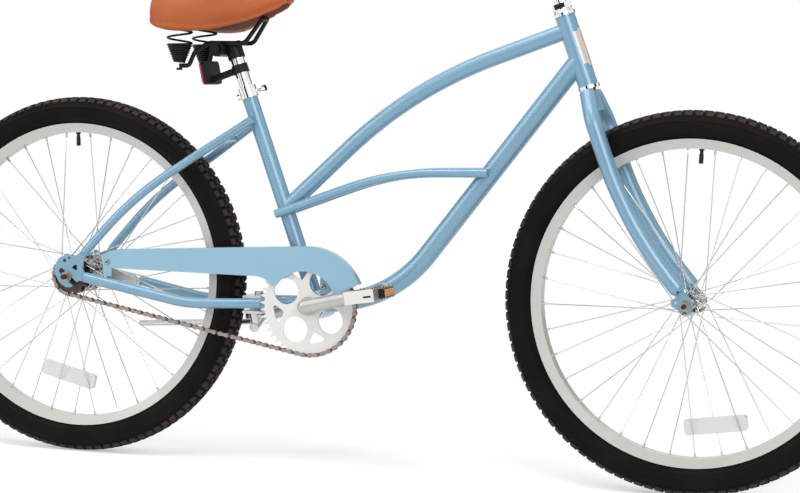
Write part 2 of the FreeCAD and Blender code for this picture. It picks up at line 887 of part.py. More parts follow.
def headset_races():
    bore = d.steerer_radius + d.fit_gap
    washer_low = stack_low + d.race_height
    nut_low = washer_low + d.washer_height
    crown = turned("crown_race", [(bore, crown_top), (d.race_neck_radius, crown_top),
                                  (d.cup_radius, crown_top + d.race_height), (bore, crown_top + d.race_height)],
                   steer_place)
    upper = turned("upper_race", [(bore, stack_low), (d.cup_radius, stack_low), (d.race_neck_radius, washer_low),
                                  (bore, washer_low)], steer_place)
    washer = ring("headset_washer", bore, d.washer_radius, washer_low, nut_low, steer_place)
    prism = add("Part::Prism", "locknut_prism", Polygon=6, Circumradius=d.locknut_radius, Height=d.locknut_height,
                Placement=place(head_at(nut_low), steer_up))
    hole = rod("locknut_bore", bore, head_at(nut_low), steer_up, d.locknut_height)
    return group("headset_races", [crown, upper, washer, cut("headset_locknut", prism, [hole])])


def fork_steerer():
    low = -d.crown_depth
    return turned("fork_steerer", [(d.steerer_bore_radius, low), (d.crown_radius, low), (d.crown_radius, crown_top),
                                   (d.steerer_radius, crown_top), (d.steerer_radius, stack_top),
                                   (d.steerer_bore_radius, stack_top)], steer_place)


knee_turn = math.radians(d.blade_knee_angle)
blade_foot = fork_at(d.blade_knee_drop + d.blade_foot_length * math.cos(knee_turn), d.blade_knee_spread,
                     d.blade_foot_length * math.sin(knee_turn))
blade_points = [fork_at(d.blade_root_drop, d.blade_root_spread),
                fork_at(d.blade_shoulder_drop, d.blade_shoulder_spread),
                fork_at(d.blade_knee_drop, d.blade_knee_spread), blade_foot]
blade_bends = [d.blade_shoulder_bend, d.blade_knee_bend]
fork_dropout_shares = [(-0.7, 0.787), (-0.468, 1), (-0.085, 0.553), (0.213, 0.255), (0.298, 0), (0.213, -0.234),
                       (0.106, -0.298), (-0.106, -0.298), (-0.255, -0.17), (-0.51, -0.021), (-0.553, 0.17),
                       (-0.34, 0.298)]
fork_eyelet_share = (-0.383, 0.106)


def fork_dropout_cutter(label):
    start = d.weld_gap - d.fork_dropout_inner_half
    face = loop(outline(front + across * start, d.fork_dropout_reach, fork_dropout_shares), d.dropout_corner)
    return plate(label, face, d.dropout_thickness + 2 * d.weld_gap, -1)


def fork_blades():
    steerer = rod("blade_crown_cope", d.crown_radius + d.weld_gap, head_at(-d.crown_depth - d.cut_overrun), steer_up,
                  d.crown_depth + 2 * d.cut_overrun)
    race = rod("blade_race_cope", d.cup_radius + d.run_gap, head_at(crown_top - d.run_gap), steer_up, d.cut_overrun)
    skin = bent_rod("blade_rod", blade_points, blade_bends, d.blade_radius)
    right = cut("blade_right", skin, [steerer, race, fork_dropout_cutter("blade_foot_slot")])
    return pair("fork_blades", right)


def fork_dropouts():
    centre = front - across * d.fork_dropout_inner_half
    face = loop(outline(centre, d.fork_dropout_reach, fork_dropout_shares), d.dropout_corner)
    axle_slot = slot(centre, centre - Vec(0, 0, d.fork_dropout_reach), d.fork_slot_width)
    eyelet = disc(outline(centre, d.fork_dropout_reach, [fork_eyelet_share])[0], d.eyelet_radius)
    right = plate("fork_dropout_right", face.cut(axle_slot).cut(eyelet), d.dropout_thickness, -1)
    return pair("fork_dropouts", right)


# Stem, handlebar and grips

neck_spot = head_at(stack_top + d.stem_neck_height)
clamp_spot = neck_spot + Vec(d.stem_reach, 0, 0)


def stem():
    quill = rod("stem_quill", d.stem_quill_radius, head_at(stack_top - d.stem_quill_depth), steer_up,
                d.stem_quill_depth + d.stem_neck_height + d.stem_neck_radius)
    neck = rod("stem_neck", d.stem_neck_radius, neck_spot, Vec(1, 0, 0), d.stem_reach)
    knob = add("Part::Sphere", "stem_knob", Radius=d.stem_clamp_radius, Placement=place(neck_spot))
    clamp = rod("stem_clamp", d.stem_clamp_radius, clamp_spot - across * (d.stem_clamp_width / 2), across,
                d.stem_clamp_width)
    bore = rod("stem_bar_bore", d.bar_radius + d.fit_gap, clamp_spot - across * d.stem_clamp_width, across,
               2 * d.stem_clamp_width)
    bolt_hole = rod("stem_bolt_hole", d.stem_bolt_radius + d.fit_gap, head_at(0), steer_up,
                    d.head_length * 3)
    return cut("stem", fuse("stem_form", [quill, neck, knob, clamp]), [bore, bolt_hole])


def stem_bolts():
    top = stack_top + d.stem_neck_height + d.stem_clamp_radius
    shank = rod("stem_expander", d.stem_bolt_radius, head_at(stack_top - d.stem_quill_depth), steer_up,
                d.stem_quill_depth + d.stem_neck_height + d.stem_clamp_radius + d.weld_gap)
    head = rod("stem_expander_head", d.stem_bolt_head_radius, head_at(top + d.weld_gap), steer_up,
               d.stem_bolt_head_radius)
    pin = rod("stem_clamp_bolt", d.stem_bolt_head_radius, clamp_spot + Vec(d.stem_clamp_radius + d.weld_gap, 0, 0),
              Vec(1, 0, 0), d.stem_bolt_head_radius)
    return group("stem_bolts", [fuse("stem_expander_bolt", [shank, head]), pin])


bar_shares = [(0, 0, 0), (0, 0.22, 0), (0.05, 0.4, 0.9), (-0.1, 0.64, 1), (-1, 1, 0.81)]


def bar_points():
    return [clamp_spot + Vec(ahead * d.bar_sweep, -side * d.bar_half_width, up * d.bar_rise)
            for ahead, side, up in bar_shares]


def handlebar():
    points = bar_points()
    right = bent_rod("bar_right", points, [d.bar_bend] * 3, d.bar_radius)
    return fuse("handlebar", [right, mirror("bar_left", right)])


def grips():
    points = bar_points()
    back = unit(points[3] - points[4])
    profile = [(d.bar_radius + d.fit_gap, sized(0)), (d.grip_radius, sized(0)),
               (d.grip_radius, d.grip_length - d.grip_flange_width),
               (d.grip_flange_radius, d.grip_length - d.grip_flange_width), (d.grip_flange_radius, d.grip_length),
               (d.bar_radius + d.fit_gap, d.grip_length)]
    return pair("grips", turned("grip_right", profile, place(points[4], back)))


# Wheels

def tyre(name, centre):
    half = d.tyre_half_width
    bead = d.tyre_bead_half_width
    inner = bead - d.tyre_bead_thickness
    neck = d.rim_edge_radius + d.run_gap
    points = [(d.tyre_bead_radius, -inner), (d.tyre_bead_radius, -bead), (neck, -bead),
              (d.tyre_belly_radius, -half),
              (d.tyre_shoulder_radius, -d.tyre_shoulder_half_width, d.tyre_crown_bend),
              (d.tyre_shoulder_radius, d.tyre_shoulder_half_width), (d.tyre_belly_radius, half),
              (neck, bead), (d.tyre_bead_radius, bead), (d.tyre_bead_radius, inner),
              (d.tyre_cavity_radius, d.tyre_cavity_half_width), (d.tyre_cavity_radius, -d.tyre_cavity_half_width)]
    return turned(name, points, place(centre, across))


def rim(name, centre):
    edge = d.rim_edge_half_width
    half = [(d.rim_inner_radius, d.rim_inner_half_width), (d.rim_edge_radius, edge),
            (d.rim_edge_radius, edge - d.rim_edge_thickness), (d.rim_seat_radius, d.rim_seat_half_width),
            (d.rim_well_radius, d.rim_well_half_width)]
    other = [(radius, -side) for radius, side in half]
    return turned(name, other + half[::-1], place(centre, across))


def around(centre, radius, angle, side):
    return centre + heading(angle) * radius + across * side


def prism(start, end, half_side):
    """A straight bar of square section."""
    along = end - start
    first = unit(along.cross(across)) * half_side
    second = unit(along.cross(first)) * half_side
    corners = [start + first + second, start + first - second, start - first - second, start - first + second]
    return polygon(corners).extrude(along)


spoke_lanes = ((-1, 1), (1, 1), (-1, -1), (1, -1))


def spokes(name, centre, valve_angle, flange_radius, flange_thickness, flange_left, flange_right):
    """Laced three-cross: each flange's spokes lead and trail in turn, on its outer and inner face."""
    count = int(d.spoke_count)
    step = 360 / count
    hub_reach = flange_radius - flange_thickness
    lane = flange_thickness / 2 + d.spoke_radius + d.spoke_lane_gap
    pieces = []
    for number in range(count):
        side, lead = spoke_lanes[number % len(spoke_lanes)]
        flange = flange_left if side > 0 else -flange_right
        angle = valve_angle + step * (number + 0.5)
        hub_end = around(centre, hub_reach, angle + lead * d.spoke_lead_angle, flange + side * lead * lane)
        rim_end = around(centre, d.rim_inner_radius - d.nipple_gap, angle, side * d.nipple_spread)
        along = unit(rim_end - hub_end)
        nipple_start = rim_end - along * d.nipple_length
        pieces.append(prism(hub_end, nipple_start, d.spoke_radius))
        pieces.append(prism(nipple_start, rim_end, d.nipple_half_side))
    return feature(name, Part.makeCompound(pieces))


def valve(name, centre, angle):
    start = around(centre, d.rim_inner_radius - d.weld_gap - d.valve_length, angle, 0)
    return rod(name, d.valve_radius, start, heading(angle), d.valve_length)


def wheel_reflector(name, centre, reach, angle, tilt, thickness):
    middle = around(centre, reach, angle, -thickness / 2)
    along = heading(tilt) * (d.reflector_length / 2)
    up = heading(tilt + 90) * (d.reflector_height / 2)
    corners = [middle - along - up, middle + along - up, middle + along + up, middle - along + up]
    return plate(name, loop(corners, d.reflector_corner), thickness)


def front_hub():
    bore = d.front_axle_radius + d.fit_gap
    flange = d.front_flange_half_gap
    half = d.front_flange_thickness / 2
    profile = [(bore, -d.front_hub_end), (d.front_hub_end_radius, -d.front_hub_end),
               (d.front_barrel_radius, -flange - half), (d.front_flange_radius, -flange - half),
               (d.front_flange_radius, -flange + half), (d.front_barrel_radius, -flange + half),
               (d.front_barrel_radius, flange - half), (d.front_flange_radius, flange - half),
               (d.front_flange_radius, flange + half), (d.front_barrel_radius, flange + half),
               (d.front_hub_end_radius, d.front_hub_end), (bore, d.front_hub_end)]
    return turned("front_hub", profile, place(front, across))


def rear_hub():
    bore = d.rear_axle_radius + d.fit_gap
    right, left = -d.rear_flange_right, d.rear_flange_left
    half = d.rear_flange_thickness / 2
    end = d.rear_hub_end_radius
    profile = [(bore, -d.rear_hub_right_end), (end, -d.rear_hub_right_end), (d.rear_barrel_radius, right - half),
               (d.rear_flange_radius, right - half), (d.rear_flange_radius, right + half),
               (d.rear_barrel_radius, right + half), (d.rear_barrel_radius, left - half),
               (d.rear_flange_radius, left - half), (d.rear_flange_radius, left + half),
               (d.rear_barrel_radius, left + half), (end, d.rear_hub_left_end), (bore, d.rear_hub_left_end)]
    return turned("rear_hub", profile, place(rear, across))


def axle(name, centre, radius, half_length, spacers, spacer_radius):
    """A shaft with a spacer on each side, from the hub's end to the dropout's inner face."""
    (right_start, right_end), (left_start, left_end) = spacers
    profile = [(sized(0), -half_length), (radius, -half_length), (radius, -right_end),
               (spacer_radius, -right_end), (spacer_radius, -right_start), (radius, -right_start),
               (radius, left_start), (spacer_radius, left_start), (spacer_radius, left_end), (radius, left_end),
               (radius, half_length), (sized(0), half_length)]
    return turned(name, profile, place(centre, across))


def axle_nuts(name, centre, radius, face):
    bore = radius + d.fit_gap
    start = face + d.weld_gap
    washer = tube(name + "_washer", d.axle_washer_radius, bore, centre - across * start, -across,
                  d.axle_washer_height)
    hexagon = add("Part::Prism", name + "_prism", Polygon=6, Circumradius=d.nut_radius, Height=d.nut_height,
                  Placement=place(centre - across * (start + d.axle_washer_height + d.weld_gap), -across))
    hole = rod(name + "_bore", bore, centre - across * start, -across, d.nut_height * 2)
    return pair(name, group(name + "_right", [washer, cut(name + "_nut", hexagon, [hole])]))


# Chain, chainring and sprocket

chain_run = math.degrees(math.atan2(shell_centre.z - rear.z, shell_centre.x - rear.x))
lean_angle = math.degrees(chain_lean(crank_reach))
upper_angle = chain_run + 90 + lean_angle
lower_angle = chain_run - 90 - lean_angle
ring_wrap = ring_pitch_radius * math.radians(180 + 2 * lean_angle)
sprocket_wrap = sprocket_pitch_radius * math.radians(180 - 2 * lean_angle)
straight_run = crank_reach * math.cos(math.radians(lean_angle))


def chain_spot(length):
    """The pin at a length along the loop: round the chainring, back below, round the sprocket, forward above."""
    if length < ring_wrap:
        return around(shell_centre, ring_pitch_radius, upper_angle - math.degrees(length / ring_pitch_radius), 0)
    length -= ring_wrap
    if length < straight_run:
        back = heading(lower_angle - 90)
        return around(shell_centre, ring_pitch_radius, lower_angle, 0) + back * length
    length -= straight_run
    if length < sprocket_wrap:
        return around(rear, sprocket_pitch_radius, lower_angle - math.degrees(length / sprocket_pitch_radius), 0)
    ahead = heading(upper_angle - 90)
    return around(rear, sprocket_pitch_radius, upper_angle, 0) + ahead * (length - sprocket_wrap)


def link_plate(first, second, near, pointed):
    """A chain plate round two pins, from its near face outward."""
    along = unit(second - first) * d.chain_plate_half_height
    up = along.cross(across)
    if pointed:
        corners = [first - along, first + up, second + up, second + along, second - up, first - up]
    else:
        corners = [first + up - along, second + up + along, second - up + along, first - up - along]
    shift = across * (near - d.chainline)
    thickness = d.chain_plate if near > 0 else -d.chain_plate
    return polygon([corner + shift for corner in corners]).extrude(across * thickness)


roller_side_count = 6


def roller(spot):
    start = -d.chain_inner_half + d.fit_gap - d.chainline
    corners = [around(spot, d.roller_radius, 360 * corner / roller_side_count, start)
               for corner in range(roller_side_count)]
    return polygon(corners).extrude(across * (2 * (d.chain_inner_half - d.fit_gap)))


def drive_chain():
    count = int(d.chain_pitch_count)
    pins = [chain_spot(number * d.chain_pitch) for number in range(count)]
    inner = d.chain_inner_half
    outer = inner + d.chain_plate + d.chain_plate_gap
    pieces = []
    for number, pin in enumerate(pins):
        near, pointed = (outer, True) if number % 2 else (inner, False)
        following = pins[(number + 1) % count]
        pieces.append(link_plate(pin, following, near, pointed))
        pieces.append(link_plate(pin, following, -near, pointed))
        pieces.append(roller(pin))
    return feature("drive_chain", Part.makeCompound(pieces))


tooth_root_share = 0.23
tooth_tip_share = 0.44


def toothed_face(centre, teeth, pitch_radius, first_angle):
    """Teeth whose gaps lie under the chain's rollers."""
    corners = []
    for number in range(int(teeth)):
        angle = first_angle + 360 * number / teeth
        out, aside = heading(angle), heading(angle + 90)
        middle = centre + out * pitch_radius
        for side in (-1, 1):
            root = middle - out * d.tooth_gap_depth + aside * (side * tooth_root_share * d.chain_pitch)
            tip = middle + out * d.tooth_height + aside * (side * tooth_tip_share * d.chain_pitch)
            corners += [tip, root] if side < 0 else [root, tip]
    return polygon(corners)


def chainring():
    low = shell_centre - across * (d.chainline + d.tooth_thickness / 2)
    face = toothed_face(low, d.chainring_teeth, ring_pitch_radius, upper_angle)
    face = face.cut(disc(low, d.crank_axle_radius + d.fit_gap))
    for quarter in range(4):
        face = face.cut(disc(around(low, d.ring_hole_reach, d.ring_hole_angle + 90 * quarter, 0), d.ring_hole_radius))
        angle = d.ring_gap_angle + 90 * quarter
        corners = [around(low, d.ring_gap_apex, angle, 0),
                   around(low, d.ring_gap_reach, angle - d.ring_gap_half_angle, 0),
                   around(low, d.ring_gap_reach, angle + d.ring_gap_half_angle, 0)]
        face = face.cut(loop(corners, d.ring_gap_corner))
    return plate("chainring", face, d.tooth_thickness)


def rear_sprocket():
    low = rear - across * (d.chainline + d.tooth_thickness / 2)
    on_sprocket = math.ceil((ring_wrap + straight_run) / d.chain_pitch) * d.chain_pitch
    first = chain_spot(on_sprocket) - rear
    angle = math.degrees(math.atan2(first.z, first.x))
    face = toothed_face(low, d.sprocket_teeth, sprocket_pitch_radius, angle)
    teeth = plate("sprocket_teeth", face, d.tooth_thickness)
    start = d.rear_hub_right_end + d.run_gap
    driver = rod("sprocket_driver", d.driver_radius, rear - across * start, -across, d.driver_end - start)
    hole = rod("sprocket_bore", d.rear_axle_radius + d.fit_gap, rear, -across, 2 * d.driver_end)
    return cut("rear_sprocket", fuse("sprocket_form", [teeth, driver]), [hole])


# Crank, bearings and pedals

crank_place = place(shell_centre, across)


def bottom_bracket_cups():
    half = d.shell_length / 2
    insert = d.shell_bore_radius - d.fit_gap
    hole = d.shell_cup_hole_radius
    profile = [(hole, half - d.shell_cup_insert), (insert, half - d.shell_cup_insert), (insert, half),
               (d.shell_radius, half), (d.shell_radius, half + d.shell_cup_flange),
               (hole, half + d.shell_cup_flange)]
    return pair("bottom_bracket_cups", turned("bottom_bracket_cup_left", profile, crank_place))


def crank_cones():
    bore = d.crank_axle_radius + d.fit_gap
    ring_inner = d.chainline - d.tooth_thickness / 2 - d.weld_gap
    right = ring("cone_right", bore, d.cone_radius, -ring_inner, -d.cone_inner_half, crank_place)
    nut_low = d.shell_length / 2 + d.shell_cup_flange + d.run_gap
    left = turned("cone_left", [(bore, d.cone_inner_half), (d.cone_radius, d.cone_inner_half),
                                (d.cone_radius, nut_low), (d.crank_nut_radius, nut_low),
                                (d.crank_nut_radius, nut_low + d.crank_nut_thickness),
                                (bore, nut_low + d.crank_nut_thickness)], crank_place)
    return group("crank_cones", [right, left])


def crank_side(side):
    """Elbow, tapered arm and pedal boss; the right arm points forward and the left one back."""
    name = "crank_right" if side < 0 else "crank_left"
    out = across * side
    arm = heading(d.crank_angle) * (-side * d.crank_length)
    elbow_spot = shell_centre + out * d.crank_elbow_half
    boss_spot = shell_centre + arm + out * d.crank_boss_half
    elbow = add("Part::Sphere", name + "_elbow", Radius=d.crank_elbow_radius, Placement=place(elbow_spot))
    taper = add("Part::Cone", name + "_arm", Radius1=d.crank_elbow_radius, Radius2=d.crank_tip_radius,
                Height=(boss_spot - elbow_spot).Length, Placement=place(elbow_spot, boss_spot - elbow_spot))
    boss = rod(name + "_boss", d.crank_boss_radius, boss_spot - out * (d.crank_boss_length / 2), out,
               d.crank_boss_length)
    hole = rod(name + "_thread", d.spindle_thread_radius + d.fit_gap, boss_spot - out * d.crank_boss_length, out,
               2 * d.crank_boss_length)
    facing = rod(name + "_facing", d.crank_boss_radius + d.run_gap, boss_spot + out * (d.crank_boss_length / 2), out,
                 d.crank_boss_length)
    return [elbow, taper, boss], [hole, facing]


def crank():
    shaft = rod("crank_shaft", d.crank_axle_radius, shell_centre - across * d.crank_elbow_half, across,
                2 * d.crank_elbow_half)
    collar_start = d.chainline + d.tooth_thickness / 2 + d.weld_gap
    collar = rod("crank_collar", d.crank_collar_radius, shell_centre - across * collar_start, -across,
                 d.crank_collar_thickness)
    right, right_cuts = crank_side(-1)
    left, left_cuts = crank_side(1)
    return cut("crank", fuse("crank_form", [shaft, collar] + right + left), right_cuts + left_cuts)


def pedal_axis(side):
    return shell_centre + heading(d.crank_angle) * (-side * d.crank_length)


def pedal_spindles():
    boss_in = d.crank_boss_half - d.crank_boss_length / 2
    boss_out = d.crank_boss_half + d.crank_boss_length / 2 + d.weld_gap
    end = d.pedal_outer_half - 2 * d.pedal_wall
    profile = [(sized(0), boss_in), (d.spindle_thread_radius, boss_in), (d.spindle_thread_radius, boss_out),
               (d.spindle_collar_radius, boss_out), (d.spindle_collar_radius, boss_out + d.spindle_collar_length),
               (d.spindle_radius, boss_out + d.spindle_collar_length), (d.spindle_radius, end), (sized(0), end)]
    right = turned("spindle_right", profile, place(pedal_axis(-1), -across))
    left = turned("spindle_left", profile, place(pedal_axis(1), across))
    return group("pedal_spindles", [right, left])


def pedal_turn():
    return FreeCAD.Rotation(across, -d.pedal_tilt_angle)


def pedal_spot(side, ahead, out, up):
    return pedal_axis(side) + pedal_turn().multVec(Vec(ahead, 0, up)) + across * (side * out)


def pedal_body(name, side):
    turn = pedal_turn()
    inner = d.pedal_inner_half + d.pedal_wall / 2
    outer = d.pedal_outer_half - d.pedal_wall / 2
    middle = (d.pedal_inner_half + d.pedal_outer_half) / 2
    depth = d.pedal_width - 2 * d.cage_thickness - 2 * d.fit_gap
    walls = [block("%s_%s" % (name, part), depth, d.pedal_wall, d.pedal_wall_height, pedal_spot(side, 0, spot, 0),
                   turn) for part, spot in (("inner_wall", inner), ("outer_wall", outer))]
    barrel = rod(name + "_barrel", d.pedal_barrel_radius, pedal_spot(side, 0, d.pedal_inner_half, 0), across * side,
                 d.pedal_outer_half - d.pedal_inner_half)
    reach = depth / 2 - d.pedal_holder_depth / 2
    holders = [block("%s_%s" % (name, part), d.pedal_holder_depth, d.pedal_holder_length, d.pedal_holder_height,
                     pedal_spot(side, ahead, middle, 0), turn)
               for part, ahead in (("front_holder", reach), ("rear_holder", -reach))]
    ribs = block(name + "_web", depth, d.pedal_wall, d.pedal_wall_height / 2, pedal_spot(side, 0, middle, 0), turn)
    form = fuse(name + "_form", walls + holders + [barrel, ribs])
    hole = rod(name + "_bore", d.spindle_radius + d.fit_gap, pedal_axis(side), across * side,
               d.pedal_outer_half - 2 * d.pedal_wall + d.run_gap)
    return cut(name, form, [hole])


tooth_pitch_share = 0.5


def cage_plate(label, side, ahead):
    """A serrated plate along the pedal, teeth on its upper and lower edge."""
    count = int(d.cage_tooth_count)
    run = (d.pedal_outer_half - d.pedal_inner_half) / count
    top = d.cage_height / 2
    upper = []
    for number in range(count):
        start = d.pedal_inner_half + run * number
        upper += [(start, top - d.cage_tooth_depth), (start + run * tooth_pitch_share, top)]
    upper.append((d.pedal_outer_half, top - d.cage_tooth_depth))
    lower = [(out, -up) for out, up in reversed(upper)]
    corners = [pedal_spot(side, ahead, out, up) for out, up in upper + lower]
    face = feature(label + "_face", polygon(corners))
    return add("Part::Extrusion", label, Base=face, DirMode="Custom", Dir=pedal_turn().multVec(Vec(1, 0, 0)),
               LengthFwd=d.cage_thickness, Solid=True)


def pedal_cage(name, side):
    edge = d.pedal_width / 2
    forward = cage_plate(name + "_front", side, edge - d.cage_thickness)
    rearward = cage_plate(name + "_rear", side, -edge)
    return group(name, [forward, rearward])


# Chain guard with its brackets

guard_tail_shares = [(-0.91, 0.2143), (-0.959, 0.2037), (-0.9995, 0.1832), (-0.988, 0.126), (-0.987, 0.089),
                     (-0.947, 0.089), (-0.947, 0.1276), (-0.242, 0.1222)]
guard_cusp_share = (-0.1685, 0.085)
guard_cusp_middle_share = (-0.193, 0.106)


def guard_edges(shift):
    """The guard's upper edge from tail to nose, shifted inward."""
    tail = outline(shell_centre, d.guard_length, guard_tail_shares[:3])
    slope = unit(tail[0] - around(shell_centre, d.guard_nose_radius, 90, 0))
    inward = Vec(-slope.z, 0, slope.x)
    radius = d.guard_nose_radius - shift
    nose = [around(shell_centre, radius, angle, 0)
            for angle in (90, (90 + d.guard_nose_angle) / 2, d.guard_nose_angle)]
    return tail[0] + inward * shift, nose


def chain_guard():
    window = shell_centre + Vec(-d.guard_window_back, 0, -d.guard_window_drop)
    starts, ends = d.guard_window_start_angle, d.guard_window_end_angle
    window_arc = [around(window, d.guard_window_radius, angle, 0) for angle in (starts, (starts + ends) / 2, ends)]
    tail = outline(shell_centre, d.guard_length, guard_tail_shares)
    cusp, cusp_middle = outline(shell_centre, d.guard_length, [guard_cusp_share, guard_cusp_middle_share])
    bend, nose = guard_edges(0)
    edges = Part.makePolygon([nose[0]] + tail).Edges
    edges.append(Part.Arc(tail[-1], cusp_middle, cusp).toShape())
    edges.append(Part.makeLine(cusp, window_arc[2]))
    edges.append(Part.Arc(window_arc[2], window_arc[1], window_arc[0]).toShape())
    edges.append(Part.makeLine(window_arc[0], nose[2]))
    edges.append(Part.Arc(nose[2], nose[1], nose[0]).toShape())
    shift = across * -d.guard_inner_face
    sheet_face = Part.Face(Part.Wire(edges))
    sheet_face.translate(shift)
    skin = plate("guard_plate", sheet_face, d.guard_thickness, -1)
    inner_bend, inner_nose = guard_edges(d.guard_thickness)
    lip = [Part.makeLine(bend, nose[0]), Part.Arc(nose[0], nose[1], nose[2]).toShape(),
           Part.makeLine(nose[2], inner_nose[2]), Part.Arc(inner_nose[2], inner_nose[1], inner_nose[0]).toShape(),
           Part.makeLine(inner_nose[0], inner_bend), Part.makeLine(inner_bend, bend)]
    lip_face = Part.Face(Part.Wire(lip))
    lip_face.translate(shift)
    flange = plate("guard_flange", lip_face, d.guard_flange)
    return fuse("chain_guard", [skin, flange])


guard_screw_share = (-0.967, 0.155)


def screw(label, spot):
    """A round-headed screw from outside the guard, with its head on the guard's outer face."""
    return rod(label, d.screw_head_radius, spot, -across, d.screw_head_height)


def guard_brackets():
    flange_edge = d.guard_inner_face - d.guard_flange
    centre_x = shell_centre.x + d.bracket_ahead + d.bracket_width / 2
    rise = math.sqrt((d.guard_nose_radius - d.guard_thickness) ** 2 - (d.bracket_ahead + d.bracket_width) ** 2)
    foot_run = d.bracket_ahead + d.bracket_width
    tube_top = math.tan(math.radians(d.down_tube_foot_angle)) * foot_run \
        + d.down_tube_radius / math.cos(math.radians(d.down_tube_foot_angle)) + d.weld_gap
    top = shell_centre.z + rise
    low = shell_centre.z + tube_top
    upright = block("front_bracket_upright", d.bracket_width, d.bracket_thickness, top - low,
                    Vec(centre_x, -flange_edge + d.bracket_thickness / 2, (top + low) / 2))
    foot = block("front_bracket_foot", d.bracket_width, flange_edge, d.bracket_thickness,
                 Vec(centre_x, -flange_edge / 2, low + d.bracket_thickness / 2))
    forward = fuse("front_bracket", [upright, foot])
    spot = outline(shell_centre, d.guard_length, [guard_screw_share])[0]
    outer = d.guard_inner_face + d.guard_thickness + d.weld_gap
    tail_screw = screw("tail_screw", spot - across * outer)
    tail_plate = block("rear_bracket_plate", d.bracket_width / 2, d.bracket_thickness, d.bracket_width,
                       Vec(spot.x, -d.guard_inner_face + d.weld_gap + d.bracket_thickness / 2,
                           spot.z - d.bracket_width / 2))
    stay = bent_rod("rear_bracket_cope", chainstay_points, chainstay_bends, d.chainstay_radius + d.weld_gap)
    tail_bracket = cut("rear_bracket", tail_plate, [stay])
    return group("guard_brackets", [forward, tail_bracket, tail_screw])


# Brake arm on the left side

def stay_point(ahead):
    """A place on the right chainstay's straight rear run, and the run's heading."""
    start, end = chainstay_points[0], chainstay_points[1]
    share = (ahead - d.chainstay_foot_ahead) / (d.chainstay_knee_ahead - d.chainstay_foot_ahead)
    return between(start, end, share), unit(end - start)


def brake_arm():
    inner = d.rear_hub_left_end + d.run_gap
    stay, run = stay_point(d.brake_arm_ahead)
    centre = rear + across * inner
    tip = Vec(stay.x, inner, stay.z)
    lever_angle = math.degrees(math.atan2(tip.z - centre.z, tip.x - centre.x))
    up = heading(lever_angle + 90)
    web = polygon([centre - up * d.brake_disc_radius, tip - up * d.brake_arm_end_radius,
                   tip + up * d.brake_arm_end_radius, centre + up * d.brake_disc_radius])
    face = web.fuse(disc(centre, d.brake_disc_radius)).fuse(disc(tip, d.brake_arm_end_radius)).removeSplitter()
    face = face.cut(disc(centre, d.rear_axle_radius + d.fit_gap))
    lever = plate("brake_lever", face.Faces[0], d.brake_arm_thickness)
    hub = mirrored(stay)
    axis = mirrored(run)
    start = hub - axis * (d.strap_width / 2)
    band = tube("brake_strap_band", d.chainstay_radius + d.weld_gap + d.strap_thickness,
                d.chainstay_radius + d.weld_gap, start, axis, d.strap_width)
    strap = cut("brake_strap", band, [block("brake_strap_room", d.brake_arm_ahead, d.brake_arm_thickness,
                                            d.brake_disc_radius * 2,
                                            tip + across * (d.brake_arm_thickness / 2))])
    stay_cope = mirror("brake_lever_cope", bent_rod("brake_lever_cope_right", chainstay_points, chainstay_bends,
                                                    d.chainstay_radius + d.weld_gap))
    return group("brake_arm", [cut("brake_lever_arm", lever, [stay_cope]), strap])


# Kickstand

stand_pivot = shell_centre + Vec(-d.stand_pivot_back, d.stand_pivot_side, -d.stand_pivot_drop)
stand_tip = shell_centre + Vec(-d.stand_tip_back, d.stand_tip_side, -d.stand_tip_drop)


def stand_axis():
    """The leg's hinge leans, so that the leg folds back along the wheel and opens out to the left."""
    down_share = Vec(0.08, 0.42, -0.905)
    return unit(unit(stand_tip - stand_pivot).cross(unit(down_share)))


def kickstand_bracket():
    stay_low = min(point.z for point in chainstay_points[1:3]) - d.chainstay_radius - d.weld_gap
    stay_high = max(point.z for point in chainstay_points[1:3]) + d.chainstay_radius + d.weld_gap
    centre_x = shell_centre.x - d.stand_back
    thick = d.stand_plate_thickness
    lower = block("stand_lower_plate", d.stand_plate_length, d.stand_plate_width, thick,
                  Vec(centre_x, 0, stay_low - thick / 2))
    upper = block("stand_upper_plate", d.stand_plate_length, d.stand_plate_width, thick,
                  Vec(centre_x, 0, stay_high + thick / 2))
    bolt = rod("stand_bolt_shank", d.stand_bolt_radius, Vec(centre_x, 0, stay_low - thick), Vec(0, 0, 1),
               stay_high - stay_low + 2 * thick + d.stand_head_height)
    head = rod("stand_bolt_head", d.stand_head_radius, Vec(centre_x, 0, stay_high + thick), Vec(0, 0, 1),
               d.stand_head_height)
    axis = stand_axis()
    lug = rod("stand_lug", d.stand_boss_radius, stand_pivot + axis * (d.stand_boss_length / 2 + d.run_gap), axis,
              d.stand_boss_length)
    lug_spot = stand_pivot + axis * (d.stand_boss_length + d.run_gap)
    climb = unit(Vec(0, 0, 1) - axis * axis.z)
    root = lug_spot + climb * ((stay_low - thick / 2 - lug_spot.z) / climb.z)
    neck = rod("stand_neck", d.stand_neck_radius, root, lug_spot - root, (lug_spot - root).Length)
    form = fuse("kickstand_bracket_form", [lower, upper, bolt, head, lug, neck])
    stay = bent_rod("stand_stay_cope", chainstay_points, chainstay_bends, d.chainstay_radius + d.weld_gap)
    return cut("kickstand_bracket", form, [stay, mirror("stand_stay_cope_left", stay)])


def kickstand_leg():
    axis = stand_axis()
    boss = rod("stand_boss", d.stand_boss_radius, stand_pivot - axis * (d.stand_boss_length / 2), axis,
               d.stand_boss_length)
    leg = rod("stand_leg", d.stand_leg_radius, stand_pivot, stand_tip - stand_pivot,
              (stand_tip - stand_pivot).Length)
    return fuse("kickstand_leg", [boss, leg])


# Seatpost, collar and rear reflector; what the post carries is placed from the post's top

post_top = seat_at(d.seatpost_reach)
band_reach = d.seatpost_reach - d.band_drop


def above_post(ahead, side, rise):
    return post_top + Vec(ahead, side, rise)


